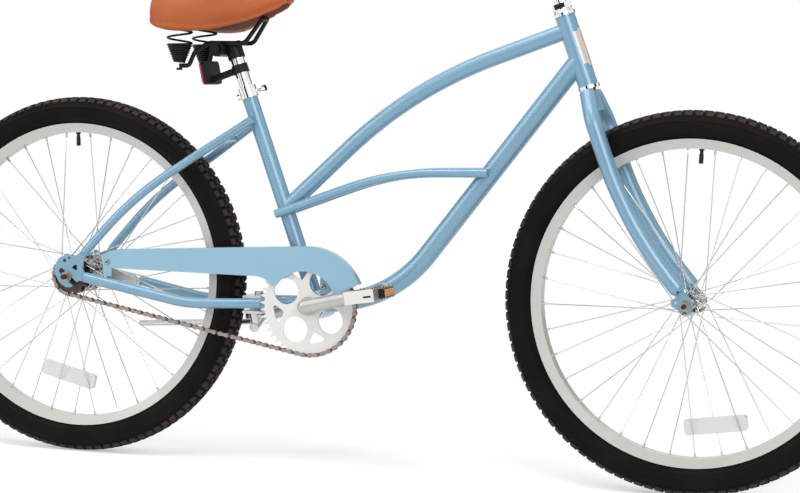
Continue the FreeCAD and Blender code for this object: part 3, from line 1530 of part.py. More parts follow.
def seat_clamp():
    """A split collar with its bolt on the far side, square to the seat tube."""
    bore = d.seat_tube_radius + d.fit_gap
    low = d.seat_tube_length - d.collar_height + d.weld_gap
    band = rod("collar_band", d.collar_radius, seat_at(low), seat_up, d.collar_height)
    turn = FreeCAD.Rotation(Vec(0, 0, 1), seat_up)
    middle = seat_at(low + d.collar_height / 2)
    ears = block("collar_ears", d.collar_ear_width, d.collar_ear_reach, d.collar_ear_height,
                 middle + across * (d.collar_ear_reach / 2), turn)
    hole = rod("collar_bore", bore, seat_at(low), seat_up, d.collar_height)
    split = block("collar_split", d.seat_slot_width, d.collar_ear_reach * 2, d.collar_height * 2,
                  middle + across * d.collar_ear_reach, turn)
    bolt_spot = middle + across * (d.seat_tube_radius + d.collar_bolt_radius + d.weld_gap + d.fit_gap)
    shank_hole = rod("collar_bolt_hole", d.collar_bolt_radius + d.fit_gap,
                     bolt_spot - seat_back * d.collar_bolt_length, seat_back, 2 * d.collar_bolt_length)
    collar = cut("seat_collar", fuse("collar_form", [band, ears]), [hole, split, shank_hole])
    half = d.collar_bolt_length / 2
    shank = rod("collar_bolt_shank", d.collar_bolt_radius, bolt_spot - seat_back * half, seat_back,
                d.collar_bolt_length)
    heads = [rod("collar_bolt_head", d.collar_head_radius, bolt_spot + seat_back * (half * side), seat_back * -side,
                 d.collar_head_height) for side in (-1, 1)]
    return group("seat_clamp", [collar, fuse("collar_bolt", [shank] + heads)])


def seatpost():
    low = d.seatpost_reach - d.seatpost_length
    return rod("seatpost", d.seatpost_radius, seat_at(low), seat_up, d.seatpost_length)


def reflector_bracket():
    turn = FreeCAD.Rotation(Vec(0, 0, 1), seat_up)
    bore = d.seatpost_radius + d.fit_gap
    low = band_reach - d.band_height / 2
    band = rod("reflector_band", bore + d.band_thickness, seat_at(low), seat_up, d.band_height)
    arm = block("reflector_arm", d.lamp_arm_length, d.lamp_arm_width, d.lamp_arm_height,
                seat_at(band_reach) + seat_back * (bore + d.lamp_arm_length / 2), turn)
    hole = rod("reflector_band_bore", bore, seat_at(low), seat_up, d.band_height)
    return cut("reflector_bracket", fuse("reflector_bracket_form", [band, arm]), [hole])


lamp_drop_share = 0.3


def rear_reflector():
    spot = seat_at(band_reach) + seat_back * (d.seatpost_radius + d.fit_gap + d.lamp_arm_length)
    turn = FreeCAD.Rotation(across, -d.lamp_tilt_angle)
    out = turn.multVec(Vec(-1, 0, 0))
    up = turn.multVec(Vec(0, 0, 1))
    lean = d.lamp_arm_height * math.tan(math.radians(90 - d.seat_angle - d.lamp_tilt_angle)) / 2
    centre = spot + out * (abs(lean) + d.weld_gap) + up * (lamp_drop_share * d.lamp_height)
    corners = [centre + across * (side * d.lamp_width / 2) + up * (rise * d.lamp_height / 2)
               for side, rise in ((-1, -1), (1, -1), (1, 1), (-1, 1))]
    face = feature("rear_reflector_face", loop(corners, d.lamp_corner))
    return add("Part::Extrusion", "rear_reflector", Base=face, DirMode="Custom", Dir=out, LengthFwd=d.lamp_depth,
               Solid=True)


# Saddle: places along it are shares of its length, measured from the tail

saddle_shares = [(0, 0.26, 0.375, 0.76), (0.087, 0.69, 0.17, 0.9), (0.184, 0.93, 0.06, 0.966), (0.33, 1, 0, 1),
                 (0.455, 0.9, 0, 1), (0.6, 0.64, 0.08, 1), (0.76, 0.362, 0.24, 1.034), (0.906, 0.233, 0.443, 1.057),
                 (0.975, 0.164, 0.6, 1.01), (1, 0.086, 0.716, 0.92)]
side_foot_share = 0.95
side_bulge_share = 0.4
shoulder_share = 0.84
shoulder_rise_share = 0.8


def saddle_point(along, side, up):
    return above_post(along * d.saddle_length - d.saddle_tail_behind, side, d.saddle_floor_rise + up)


def cover_section(along, half, low, high):
    """One cross-section of the cushion: flat below, swelling sides and a crown."""
    half, low, high = half * d.saddle_half_width, low * d.saddle_height, high * d.saddle_height
    deep = high - low
    foot, shoulder = side_foot_share * half, shoulder_share * half
    waist, crest = low + side_bulge_share * deep, low + shoulder_rise_share * deep
    left, right = saddle_point(along, foot, low), saddle_point(along, -foot, low)
    edges = [Part.makeLine(left, right)]
    edges.append(Part.Arc(right, saddle_point(along, -half, waist), saddle_point(along, -shoulder, crest)).toShape())
    edges.append(Part.Arc(saddle_point(along, -shoulder, crest), saddle_point(along, 0, high),
                          saddle_point(along, shoulder, crest)).toShape())
    edges.append(Part.Arc(saddle_point(along, shoulder, crest), saddle_point(along, half, waist), left).toShape())
    return Part.Wire(edges)


pan_half_share = 0.8


def pan_section(along, half, low, bottom, top):
    half = pan_half_share * half * d.saddle_half_width
    base = low * d.saddle_height
    corners = [saddle_point(along, half, base + bottom), saddle_point(along, -half, base + bottom),
               saddle_point(along, -half, base + top), saddle_point(along, half, base + top)]
    return Part.makePolygon(corners + [corners[0]])


def pan_loft(bottom, top):
    sections = [pan_section(along, half, low, bottom, top) for along, half, low, high in saddle_shares[1:-1]]
    return Part.makeLoft(sections, True, True)


def saddle_cover():
    cushion = Part.makeLoft([cover_section(*shares) for shares in saddle_shares], True, False)
    recess = pan_loft(-d.cut_overrun, d.pan_recess)
    return feature("saddle_cover", cushion.cut(recess))


def saddle_base():
    return feature("saddle_base", pan_loft(d.pan_recess - d.pan_thickness, d.pan_recess))


# Saddle springs: a cone of close turns under a few open ones, one unbroken wire

def spring_spot(centre, turns):
    """A place on the wire, counted in turns from the foot."""
    total = d.spring_tight_turns + d.spring_loose_turns
    share = min(turns / d.spring_tight_turns, 1)
    radius = d.spring_foot_radius + (d.spring_radius - d.spring_foot_radius) * share
    if turns <= d.spring_tight_turns:
        height = (d.spring_foot_drop - d.spring_waist_drop) * share - d.spring_foot_drop
    else:
        rest = (turns - d.spring_tight_turns) / (total - d.spring_tight_turns)
        height = (d.spring_top_rise + d.spring_waist_drop) * rest - d.spring_waist_drop
    angle = 2 * math.pi * turns
    return centre + Vec(radius * math.cos(angle), radius * math.sin(angle), height)


nudge_share = 0.001


def spring_heading(centre, turns):
    return unit(spring_spot(centre, turns + nudge_share) - spring_spot(centre, turns - nudge_share))


def arc_from(start, tangent, end):
    chord = end - start
    lean = tangent.getAngle(chord)
    aside = unit(tangent - unit(chord) * tangent.dot(unit(chord)))
    middle = (start + end) * 0.5 + aside * (chord.Length / 2 * math.tan(lean / 2))
    return Part.Arc(start, middle, end).toShape()


def biarc(start, tangent, end, end_tangent):
    gap = end - start
    square = 2 * (1 - tangent.dot(end_tangent))
    linear = 2 * gap.dot(tangent + end_tangent)
    reach = (-linear + math.sqrt(linear ** 2 + 4 * square * gap.dot(gap))) / (2 * square)
    joint = (start + tangent * reach + end - end_tangent * reach) * 0.5
    back = arc_from(end, end_tangent * -1, joint)
    return [arc_from(start, tangent, joint), back]


quarter_count = 4
wire_side_count = 6


def saddle_spring(side):
    centre = above_post(-d.spring_behind, side * d.spring_side, 0)
    total = int(quarter_count * (d.spring_tight_turns + d.spring_loose_turns))
    stops = [number / quarter_count for number in range(total + 1)]
    edges = []
    for first, last in zip(stops, stops[1:]):
        edges += biarc(spring_spot(centre, first), spring_heading(centre, first), spring_spot(centre, last),
                       spring_heading(centre, last))
    start, along = spring_spot(centre, 0), spring_heading(centre, 0)
    aside = unit(along.cross(Vec(0, 0, 1)))
    above = unit(aside.cross(along))
    corners = []
    for number in range(wire_side_count + 1):
        turn = 2 * math.pi * number / wire_side_count
        corners.append(start + (aside * math.cos(turn) + above * math.sin(turn)) * d.spring_wire_radius)
    shell = Part.BRepOffsetAPI.MakePipeShell(Part.Wire(Part.__sortEdges__(edges)))
    shell.add(Part.makePolygon(corners))
    shell.build()
    shell.makeSolid()
    return shell.shape()


samples_per_turn_count = 48


def least_spring_gap():
    centre = Vec(0, 0, 0)
    total = int(samples_per_turn_count * (d.spring_tight_turns + d.spring_loose_turns))
    spots = [spring_spot(centre, number / samples_per_turn_count) for number in range(total + 1)]
    half_turn = samples_per_turn_count // 2
    gaps = [first.distanceToPoint(second) for index, first in enumerate(spots)
            for second in spots[index + half_turn:]]
    return min(gaps) - 2 * d.spring_wire_radius


def saddle_springs():
    return feature("saddle_springs", Part.makeCompound([saddle_spring(-1), saddle_spring(1)]))


# Rails and clamp

def rail_points():
    foot = -(d.spring_foot_drop + d.spring_wire_radius + d.rail_radius + d.fit_gap)
    return [above_post(d.rail_nose_ahead, -d.rail_nose_spread, d.rail_nose_rise),
            above_post(d.rail_clamp_ahead, -d.rail_spread, -d.rail_drop),
            above_post(-d.rail_clamp_behind, -d.rail_spread, -d.rail_drop),
            above_post(-d.rail_dip_behind, -d.rail_dip_spread, -d.rail_dip_drop),
            above_post(-d.rail_foot_behind, -d.rail_foot_spread, foot),
            above_post(-d.spring_behind, -d.spring_side, foot)]


rail_bends = [d.rail_bend, d.rail_bend, d.rail_foot_bend, d.rail_foot_bend]


def saddle_rails():
    points = rail_points()
    right = bent_rod("rail_right", points, rail_bends, d.rail_radius)
    nut = add("Part::Prism", "spring_nut", Polygon=6, Circumradius=d.spring_nut_radius, Height=d.spring_nut_height,
              Placement=place(points[-1] - Vec(0, 0, d.rail_radius + d.weld_gap), Vec(0, 0, -1)))
    nose = points[0]
    bar = rod("rail_nose_bar", d.rail_radius, nose, across, -2 * nose.y)
    corners = [add("Part::Sphere", "rail_nose_corner", Radius=d.rail_radius, Placement=place(spot))
               for spot in (nose, mirrored(nose))]
    wire = fuse("rail_wire", [right, mirror("rail_left", right), bar] + corners)
    return group("saddle_rails", [wire, nut, mirror("spring_nut_left", nut)])


def saddle_clamp():
    drum_spot = above_post(-d.drum_behind, 0, -d.drum_drop)
    drum = rod("clamp_drum", d.drum_radius, drum_spot - across * d.drum_half_width, across, 2 * d.drum_half_width)
    collar = rod("clamp_collar", d.clamp_collar_radius, seat_at(d.seatpost_reach - d.clamp_collar_height), seat_up,
                 d.clamp_collar_height)
    post = rod("clamp_post_bore", d.seatpost_radius + d.fit_gap, seat_at(0), seat_up, d.seatpost_reach * 2)
    points = rail_points()
    right = bent_rod("clamp_rail_groove", points, rail_bends, d.rail_radius + d.fit_gap)
    form = cut("clamp_form", fuse("clamp_body", [drum, collar]), [post, right, mirror("clamp_groove_left", right)])
    nuts = [add("Part::Prism", "clamp_nut", Polygon=6, Circumradius=d.drum_nut_radius, Height=d.drum_nut_height,
                Placement=place(drum_spot + across * (side * (d.drum_half_width + d.weld_gap)), across * side))
            for side in (-1, 1)]
    return group("saddle_clamp", [form] + nuts)


nodes = [
    head_tube(), top_tube(), down_tube(), seat_tube(), mid_tubes(), bottom_bracket_shell(), chainstays(), seatstays(),
    rear_dropouts(), stay_bridges(), headset_cups(), bottom_bracket_cups(), seat_clamp(), chain_guard(),
    guard_brackets(), drive_chain(), brake_arm(), kickstand_bracket(), kickstand_leg(),
    axle("rear_axle", rear, d.rear_axle_radius, d.rear_axle_half_length,
         ((d.driver_end + d.run_gap, d.dropout_inner_half - d.weld_gap),
          (d.rear_hub_left_end + 2 * d.run_gap + d.brake_arm_thickness, d.dropout_inner_half - d.weld_gap)),
         d.rear_spacer_radius),
    axle_nuts("rear_axle_nuts", rear, d.rear_axle_radius, d.dropout_inner_half + d.dropout_thickness),
    axle("front_axle", front, d.front_axle_radius, d.front_axle_half_length,
         ((d.front_hub_end + d.run_gap, d.fork_dropout_inner_half - d.weld_gap),
          (d.front_hub_end + d.run_gap, d.fork_dropout_inner_half - d.weld_gap)), d.front_spacer_radius),
    axle_nuts("front_axle_nuts", front, d.front_axle_radius, d.fork_dropout_inner_half + d.dropout_thickness),
    seatpost(), saddle_clamp(), saddle_rails(), saddle_springs(), reflector_bracket(), rear_reflector(),
    saddle_base(), saddle_cover(),
    fork_steerer(), fork_blades(), fork_dropouts(), headset_races(), stem(), stem_bolts(), handlebar(), grips(),
    tyre("front_tyre", front), rim("front_rim", front), front_hub(),
    spokes("front_spokes", front, d.front_valve_angle, d.front_flange_radius, d.front_flange_thickness,
           d.front_flange_half_gap, d.front_flange_half_gap),
    valve("front_valve", front, d.front_valve_angle),
    wheel_reflector("front_wheel_reflector", front, d.front_reflector_reach, d.front_reflector_angle,
                    d.front_reflector_tilt_angle, d.front_reflector_thickness),
    tyre("rear_tyre", rear), rim("rear_rim", rear), rear_hub(),
    spokes("rear_spokes", rear, d.rear_valve_angle, d.rear_flange_radius, d.rear_flange_thickness,
           d.rear_flange_left, d.rear_flange_right),
    valve("rear_valve", rear, d.rear_valve_angle),
    wheel_reflector("rear_wheel_reflector", rear, d.rear_reflector_reach, d.rear_reflector_angle,
                    d.rear_reflector_tilt_angle, d.rear_reflector_thickness),
    rear_sprocket(), crank(), chainring(), crank_cones(), pedal_spindles(),
    pedal_body("right_pedal_body", -1), pedal_cage("right_pedal_cage", -1),
    pedal_body("left_pedal_body", 1), pedal_cage("left_pedal_cage", 1),
]

doc.recompute()
print("least gap of the saddle springs' wire to itself: %.2f mm" % least_spring_gap())

for item in doc.Objects:
    if "Invalid" in item.State or "Error" in item.State:
        raise RuntimeError("%s did not build: %s" % (item.Label, item.State))
for node in nodes:
    if node.Shape.isNull() or not node.Shape.isValid():
        raise RuntimeError("%s has no valid shape" % node.Label)

os.makedirs("parts", exist_ok=True)
for node in nodes:
    node.Shape.exportStep("parts/%s.step" % node.Label)
print("%d sub-parts written" % len(nodes))
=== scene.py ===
import json
import math

import bmesh
import bpy
from mathutils import Matrix, Vector


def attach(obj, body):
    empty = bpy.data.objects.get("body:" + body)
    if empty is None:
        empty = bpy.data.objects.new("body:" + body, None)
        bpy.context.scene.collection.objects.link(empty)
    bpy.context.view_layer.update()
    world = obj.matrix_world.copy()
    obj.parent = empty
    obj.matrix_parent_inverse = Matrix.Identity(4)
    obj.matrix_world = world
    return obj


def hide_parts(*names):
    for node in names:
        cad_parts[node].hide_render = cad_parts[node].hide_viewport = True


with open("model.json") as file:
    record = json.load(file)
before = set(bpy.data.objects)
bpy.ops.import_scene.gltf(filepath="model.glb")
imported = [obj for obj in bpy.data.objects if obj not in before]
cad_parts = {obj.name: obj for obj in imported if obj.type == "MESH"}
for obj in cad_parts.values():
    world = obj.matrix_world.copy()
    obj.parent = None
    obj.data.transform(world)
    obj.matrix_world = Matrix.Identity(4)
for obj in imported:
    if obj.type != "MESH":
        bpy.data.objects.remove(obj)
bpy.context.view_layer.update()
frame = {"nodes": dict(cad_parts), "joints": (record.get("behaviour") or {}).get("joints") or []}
scene = bpy.context.scene
nodes = frame["nodes"]
jointSpot = {joint["name"]: Vector(joint["pos_m"]) for joint in frame["joints"] if "pos_m" in joint}
jointAxis = {joint["name"]: Vector(joint["axis"]).normalized() for joint in frame["joints"]}
frontAxle = jointSpot["front_wheel_spin"]
rearAxle = jointSpot["rear_wheel_spin"]
shellCentre = jointSpot["crank_spin"]
mm = 0.001
across = Vector((0, 1, 0))
weld = 1e-5  # metres: points of a node this close are one
fineWeld = 1e-8  # metres, for meshes whose own solids touch
print("frame loaded:", len(nodes), "nodes")


# Node trees: a socket that takes part in sums, and a sheet that adds nodes

class Wire:
    def __init__(self, sheet, socket):
        self.sheet = sheet
        self.socket = socket

    def calc(self, operation, *values):
        return self.sheet.node("ShaderNodeMath", {"operation": operation}, dict(enumerate(values)))

    def __add__(self, other):
        return self.calc("ADD", self, other)

    def __radd__(self, other):
        return self.calc("ADD", other, self)

    def __rsub__(self, other):
        return self.calc("SUBTRACT", other, self)

    def __mul__(self, other):
        return self.calc("MULTIPLY", self, other)

    def __truediv__(self, other):
        return self.calc("DIVIDE", self, other)


class NodeSheet:
    def __init__(self, tree):
        self.tree = tree

    def node(self, kind, settings=None, values=None, out=0):
        made = self.tree.nodes.new(kind)
        for key, value in (settings or {}).items():
            if key == "stops":
                ramp = made.color_ramp
                while len(ramp.elements) < len(value):
                    ramp.elements.new(1)
                for element, (place, shade) in zip(ramp.elements, value):
                    element.position = place
                    element.color = (shade, shade, shade, 1)
            else:
                setattr(made, key, value)
        for key, value in (values or {}).items():
            if isinstance(value, Wire):
                self.tree.links.new(value.socket, made.inputs[key])
            else:
                made.inputs[key].default_value = value
        return Wire(self, made.outputs[out]) if made.outputs else None

    def noise(self, where, scale, detail=3, rough=0.5):
        return self.node("ShaderNodeTexNoise", {}, {"Vector": where, "Scale": scale, "Detail": detail,
                                                    "Roughness": rough}, "Fac")

    def ramp(self, value, stops):
        return self.node("ShaderNodeValToRGB", {"stops": stops}, {"Fac": value}, "Color")

    def blend(self, factor, first, second):
        return self.node("ShaderNodeMix", {"data_type": "RGBA"}, {0: factor, 6: first, 7: second}, 2)

    def bump(self, height, strength, depth):
        return self.node("ShaderNodeBump", {}, {"Height": height, "Strength": strength, "Distance": depth})


def tone(red, green, blue):  # screen values to the light that a shader takes
    def straight(value):
        value /= 255
        return value / 12.92 if value <= 0.04045 else ((value + 0.055) / 1.055) ** 2.4
    return (straight(red), straight(green), straight(blue), 1)


def finish(name, fixed, paint):
    made = bpy.data.materials.new(name)
    made.use_nodes = True
    made.node_tree.nodes.clear()
    sheet = NodeSheet(made.node_tree)
    where = sheet.node("ShaderNodeTexCoord", out="Object")
    shader = sheet.node("ShaderNodeBsdfPrincipled", {}, {**fixed, **paint(sheet, where)})
    sheet.node("ShaderNodeOutputMaterial", {}, {"Surface": shader})
    made.diffuse_color = (0.5, 0.5, 0.5, 1)
    return made


# Finishes

def paintBlue(light, deep):
    def paint(sheet, where):
        drift = sheet.noise(where, 7, 2)
        cloud = sheet.noise(where, 60, 2)
        return {"Base Color": sheet.blend(drift * 0.8 + cloud * 0.2, deep, light),
                "Roughness": 0.33 + drift * 0.08}
    return paint


def plated(light, dark, rough, grain=240.0):
    def paint(sheet, where):
        smear = sheet.noise(where, 26, 4)
        speck = sheet.noise(where, grain, 2)
        return {"Base Color": sheet.blend(smear * 0.6, light, dark), "Roughness": rough + speck * rough * 0.5}
    return paint


# painted reflection: near-black and bright blotches in the hub's base colour stand for the dark and light
# surroundings that the chrome mirrors
def hubPaintedReflections(sheet, where):
    reflectionPatch = sheet.ramp(sheet.noise(where, 130, 3), [(0.38, 0), (0.54, 1)])
    return {"Base Color": sheet.blend(reflectionPatch, (0.05, 0.046, 0.042, 1), (0.78, 0.77, 0.75, 1)),
            "Roughness": 0.14 + reflectionPatch * 0.1}


def moulded(colour, worn, rough, scale=1500.0):
    def paint(sheet, where):
        skin = sheet.noise(where, scale, 3)
        dust = sheet.ramp(sheet.noise(where, 18, 5), [(0.45, 0), (0.75, 1)])
        return {"Base Color": sheet.blend(dust * 0.5, colour, worn), "Roughness": rough + skin * 0.2,
                "Normal": sheet.bump(skin, 0.25, 0.0002)}
    return paint


def rubberSkin(colour, worn):
    def paint(sheet, where):
        fine = sheet.noise(where, 1800, 3)
        dust = sheet.ramp(sheet.noise(where, 14, 6), [(0.4, 0), (0.8, 1)])
        return {"Base Color": sheet.blend(dust, colour, worn), "Roughness": 0.5 + fine * 0.25,
                "Normal": sheet.bump(fine, 0.2, 0.0003)}
    return paint


def vinylSkin(sheet, where):
    cells = sheet.node("ShaderNodeTexVoronoi", {"feature": "DISTANCE_TO_EDGE"}, {"Vector": where, "Scale": 620})
    grain = sheet.ramp(cells, [(0.0, 0), (0.16, 1)])
    cloud = sheet.noise(where, 11, 4)
    pores = sheet.noise(where, 2400, 2)
    colour = sheet.blend(cloud, tone(178, 88, 41), tone(196, 103, 51))
    return {"Base Color": sheet.blend((1 - grain) * 0.3, colour, tone(150, 74, 36)),
            "Roughness": 0.42 + cloud * 0.12, "Normal": sheet.bump(grain * 0.8 + pores * 0.2, 0.25, 0.0003)}


def lensSkin(colour, deep, cell):
    def paint(sheet, where):
        prism = sheet.node("ShaderNodeTexVoronoi", {"feature": "F1", "distance": "CHEBYCHEV"},
                           {"Vector": where, "Scale": cell, "Randomness": 0.0})
        return {"Base Color": sheet.blend(prism, colour, deep), "Roughness": 0.1 + prism * 0.15,
                "Normal": sheet.bump(prism, 0.6, 0.0012)}
    return paint


metal = {"Metallic": 1.0}
enamel = {"Coat Weight": 0.55, "Coat Roughness": 0.06}
finishTable = {
    "bluePaint": ({"Metallic": 0.25, **enamel}, paintBlue(tone(132, 174, 198), tone(120, 163, 189))),
    # the chain guard takes a lighter copy of the frame blue: the extra lightness is painted light on its broad
    # face
    "guardBluePaintedLight": ({"Metallic": 0.2, **enamel}, paintBlue(tone(152, 193, 215), tone(144, 186, 209))),
    "chrome": (metal, plated((0.88, 0.88, 0.87, 1), (0.78, 0.78, 0.78, 1), 0.05)),
    "zinc": (metal, plated((0.7, 0.7, 0.7, 1), (0.5, 0.5, 0.52, 1), 0.28)),
    "spokeSteel": (metal, plated((0.64, 0.64, 0.64, 1), (0.54, 0.54, 0.54, 1), 0.24)),
    "hubSteel": (metal, hubPaintedReflections),
    "nutSteel": ({"Metallic": 0.9}, plated(tone(190, 186, 175), tone(118, 114, 106), 0.26)),
    # painted shade: a dark brown that stands for the shaded hollow axle ends and the dark holes of vents and
    # screw sockets
    "paintedShadeDark": ({"Metallic": 0.5}, plated(tone(62, 48, 40), tone(40, 31, 26), 0.36)),
    "rimSilver": ({"Metallic": 0.15, "Coat Weight": 0.2},
                  plated(tone(211, 208, 204), tone(197, 194, 189), 0.3)),
    "ringSilver": ({"Metallic": 0.2}, plated(tone(240, 238, 235), tone(226, 224, 221), 0.26)),
    "armSilver": ({"Metallic": 0.6}, plated(tone(196, 195, 190), tone(176, 176, 172), 0.28)),
    "chainSteel": ({"Metallic": 0.8}, plated(tone(172, 162, 156), tone(132, 121, 115), 0.3)),
    # the inner links and rollers take a darker copy of the chain steel: painted shade between the outer plates
    "innerSteelPaintedShade": ({"Metallic": 0.7}, plated(tone(104, 92, 86), tone(72, 63, 58), 0.4)),
    # the saddle pan takes the cover's brown darkened: painted shade under the saddle
    "panPaintedShade": ({"Specular IOR Level": 0.1}, moulded(tone(106, 54, 28), tone(82, 42, 22), 0.6)),
    "sprocketSteel": ({"Metallic": 0.7}, plated(tone(96, 84, 76), tone(62, 54, 50), 0.4)),
    "blackEnamel": ({"Specular IOR Level": 0.25}, moulded(tone(18, 16, 15), tone(30, 27, 25), 0.3, 700)),
    "blackPlastic": ({"Specular IOR Level": 0.3}, moulded(tone(20, 19, 19), tone(34, 32, 31), 0.4)),
    # the carcass is darker than the tread blocks: on the sidewall this is its own rubber, between the blocks it
    # is painted shade
    "carcassRubberGapShade": ({"Specular IOR Level": 0.1}, rubberSkin(tone(15, 11, 9), tone(25, 20, 17))),
    "treadRubber": ({"Specular IOR Level": 0.25}, rubberSkin(tone(42, 36, 32), tone(62, 54, 49))),
    "gripRubber": ({}, moulded(tone(176, 98, 58), tone(160, 88, 52), 0.55, 900)),
    "saddleVinyl": ({"Specular IOR Level": 0.35}, vinylSkin),
    "redLens": ({"Coat Weight": 0.6}, lensSkin(tone(214, 36, 60), tone(150, 14, 34), 260)),
    "clearLens": ({"Coat Weight": 0.5}, lensSkin(tone(236, 237, 236), tone(206, 208, 208), 260)),
    "amberLens": ({"Coat Weight": 0.6}, lensSkin(tone(240, 168, 52), tone(206, 120, 24), 300)),
    "badgePlate": ({"Metallic": 0.5}, plated(tone(232, 221, 214), tone(212, 200, 192), 0.3)),
}
finishes = {name: finish(name, fixed, paint) for name, (fixed, paint) in finishTable.items()}
print("finishes made:", len(finishes))

nodeFinish = {
    "bluePaint": ["head_tube", "top_tube", "down_tube", "seat_tube", "mid_tubes", "bottom_bracket_shell",
                  "chainstays", "seatstays", "rear_dropouts", "stay_bridges", "fork_blades", "fork_dropouts",
                  "fork_steerer", "guard_brackets"],
    "guardBluePaintedLight": ["chain_guard"],
    "chrome": ["headset_cups", "bottom_bracket_cups", "seat_clamp", "seatpost", "headset_races", "stem",
               "stem_bolts", "handlebar", "crank_cones"],
    "zinc": ["brake_arm", "pedal_spindles", "kickstand_bracket", "kickstand_leg"],
    "nutSteel": ["rear_axle_nuts", "front_axle_nuts"],
    # the axles' dark tone is painted shade of their hollow ends
    "paintedShadeDark": ["rear_axle", "front_axle"],
    "armSilver": ["crank", "right_pedal_cage", "left_pedal_cage"],
    "ringSilver": ["chainring"],
    "rimSilver": ["front_rim", "rear_rim"],
    "hubSteel": ["front_hub", "rear_hub"],
    "spokeSteel": ["front_spokes", "rear_spokes"],
    "chainSteel": ["drive_chain"],
    "sprocketSteel": ["rear_sprocket"],
    "blackEnamel": ["saddle_clamp", "saddle_rails", "saddle_springs"],
    "blackPlastic": ["reflector_bracket", "rear_reflector", "right_pedal_body", "left_pedal_body",
                     "front_valve", "rear_valve"],
    "panPaintedShade": ["saddle_base"],
    "clearLens": ["front_wheel_reflector", "rear_wheel_reflector"],
    "carcassRubberGapShade": ["front_tyre", "rear_tyre"],
    "gripRubber": ["grips"],
    "saddleVinyl": ["saddle_cover"],
}


# Geometry trees

def geometryTree(name, inputs):
    tree = bpy.data.node_groups.new(name, "GeometryNodeTree")
    for label, kind in inputs:
        tree.interface.new_socket(label, in_out="INPUT", socket_type=kind)
    tree.interface.new_socket("Geometry", in_out="OUTPUT", socket_type="NodeSocketGeometry")
    sheet = NodeSheet(tree)
    group = tree.nodes.new("NodeGroupInput")
    return tree, sheet, {label: Wire(sheet, group.outputs[label]) for label, kind in inputs}


def closeTree(sheet, geometry):
    sheet.node("NodeGroupOutput", {}, {0: geometry})


def smoothTree():  # joins a node's loose triangles and rounds all but its sharp edges
    tree, sheet, given = geometryTree("smoothSkin", [("Geometry", "NodeSocketGeometry"),
                                                     ("Sharp", "NodeSocketFloat")])
    plain = sheet.node("GeometryNodeRemoveAttribute", {}, {"Geometry": given["Geometry"],
                                                           "Name": "custom_normal"})
    joined = sheet.node("GeometryNodeMergeByDistance", {}, {"Geometry": plain, "Distance": weld})
    round1 = sheet.node("GeometryNodeSetShadeSmooth", {}, {"Geometry": joined, "Shade Smooth": True})
    angle = sheet.node("GeometryNodeInputMeshEdgeAngle", out="Unsigned Angle")
    soft = sheet.node("ShaderNodeMath", {"operation": "LESS_THAN"}, {0: angle, 1: given["Sharp"]})
    closeTree(sheet, sheet.node("GeometryNodeSetShadeSmooth", {"domain": "EDGE"},
                                {"Geometry": round1, "Shade Smooth": soft}))
    return tree


def ringTree():  # copies of a piece round a wheel's axis
    tree, sheet, given = geometryTree("ringOf", [("Piece", "NodeSocketObject"), ("Count", "NodeSocketInt"),
                                                 ("Phase", "NodeSocketFloat"), ("Centre", "NodeSocketVector"),
                                                 ("Finish", "NodeSocketMaterial")])
    points = sheet.node("GeometryNodePoints", {}, {"Count": given["Count"]})
    index = sheet.node("GeometryNodeInputIndex")
    turn = index * (2 * math.pi) / given["Count"] + given["Phase"]
    euler = sheet.node("ShaderNodeCombineXYZ", {}, {"Y": turn})
    piece = sheet.node("GeometryNodeObjectInfo", {}, {"Object": given["Piece"]}, "Geometry")
    copies = sheet.node("GeometryNodeInstanceOnPoints", {}, {"Points": points, "Instance": piece,
                                                             "Rotation": euler})
    moved = sheet.node("GeometryNodeTranslateInstances", {}, {"Instances": copies, "Local Space": False,
                                                              "Translation": given["Centre"]})
    real = sheet.node("GeometryNodeRealizeInstances", {}, {"Geometry": moved})
    closeTree(sheet, sheet.node("GeometryNodeSetMaterial", {}, {"Geometry": real, "Material": given["Finish"]}))
    return tree


def pathTree():  # copies of a piece on points that carry their own turn
    tree, sheet, given = geometryTree("placedAlong", [("Geometry", "NodeSocketGeometry"),
                                                      ("Piece", "NodeSocketObject"),
                                                      ("Finish", "NodeSocketMaterial")])
    euler = sheet.node("GeometryNodeInputNamedAttribute", {"data_type": "FLOAT_VECTOR"}, {"Name": "turn"})
    piece = sheet.node("GeometryNodeObjectInfo", {}, {"Object": given["Piece"]}, "Geometry")
    copies = sheet.node("GeometryNodeInstanceOnPoints", {}, {"Points": given["Geometry"], "Instance": piece,
                                                             "Rotation": euler})
    real = sheet.node("GeometryNodeRealizeInstances", {}, {"Geometry": copies})
    closeTree(sheet, sheet.node("GeometryNodeSetMaterial", {}, {"Geometry": real, "Material": given["Finish"]}))
    return tree


trees = {"smooth": smoothTree(), "ring": ringTree(), "path": pathTree()}


def setInputs(modifier, values):
    for item in modifier.node_group.interface.items_tree:
        if item.item_type == "SOCKET" and item.in_out == "INPUT" and item.name in values:
            modifier[item.identifier] = values[item.name]


def evaluated(holder):
    return bpy.data.meshes.new_from_object(holder.evaluated_get(bpy.context.evaluated_depsgraph_get()))


def grow(name, tree, values, base=None):
    holder = placed(name, base or bpy.data.meshes.new(name))
    modifier = holder.modifiers.new("grow", "NODES")
    modifier.node_group = trees[tree]
    setInputs(modifier, values)
    mesh = evaluated(holder)
    bpy.data.objects.remove(holder)
    mesh.name = name
    return mesh


def placed(name, data):
    made = bpy.data.objects.new(name, data)
    scene.collection.objects.link(made)
    return made


# Mesh helpers

def meshFrom(name, build, sharp=35, doubles=1e-6):
    work = bmesh.new()
    build(work)
    bmesh.ops.remove_doubles(work, verts=work.verts, dist=doubles)
    bmesh.ops.recalc_face_normals(work, faces=work.faces)
    mesh = bpy.data.meshes.new(name)
    work.to_mesh(mesh)
    work.free()
    smooth(mesh, sharp)
    return mesh


def smooth(mesh, sharp=35):
    mesh.shade_smooth()
    mesh.set_sharp_from_angle(angle=math.radians(sharp))


def sidesOf(axis):
    first = axis.orthogonal().normalized()
    return first, axis.cross(first)


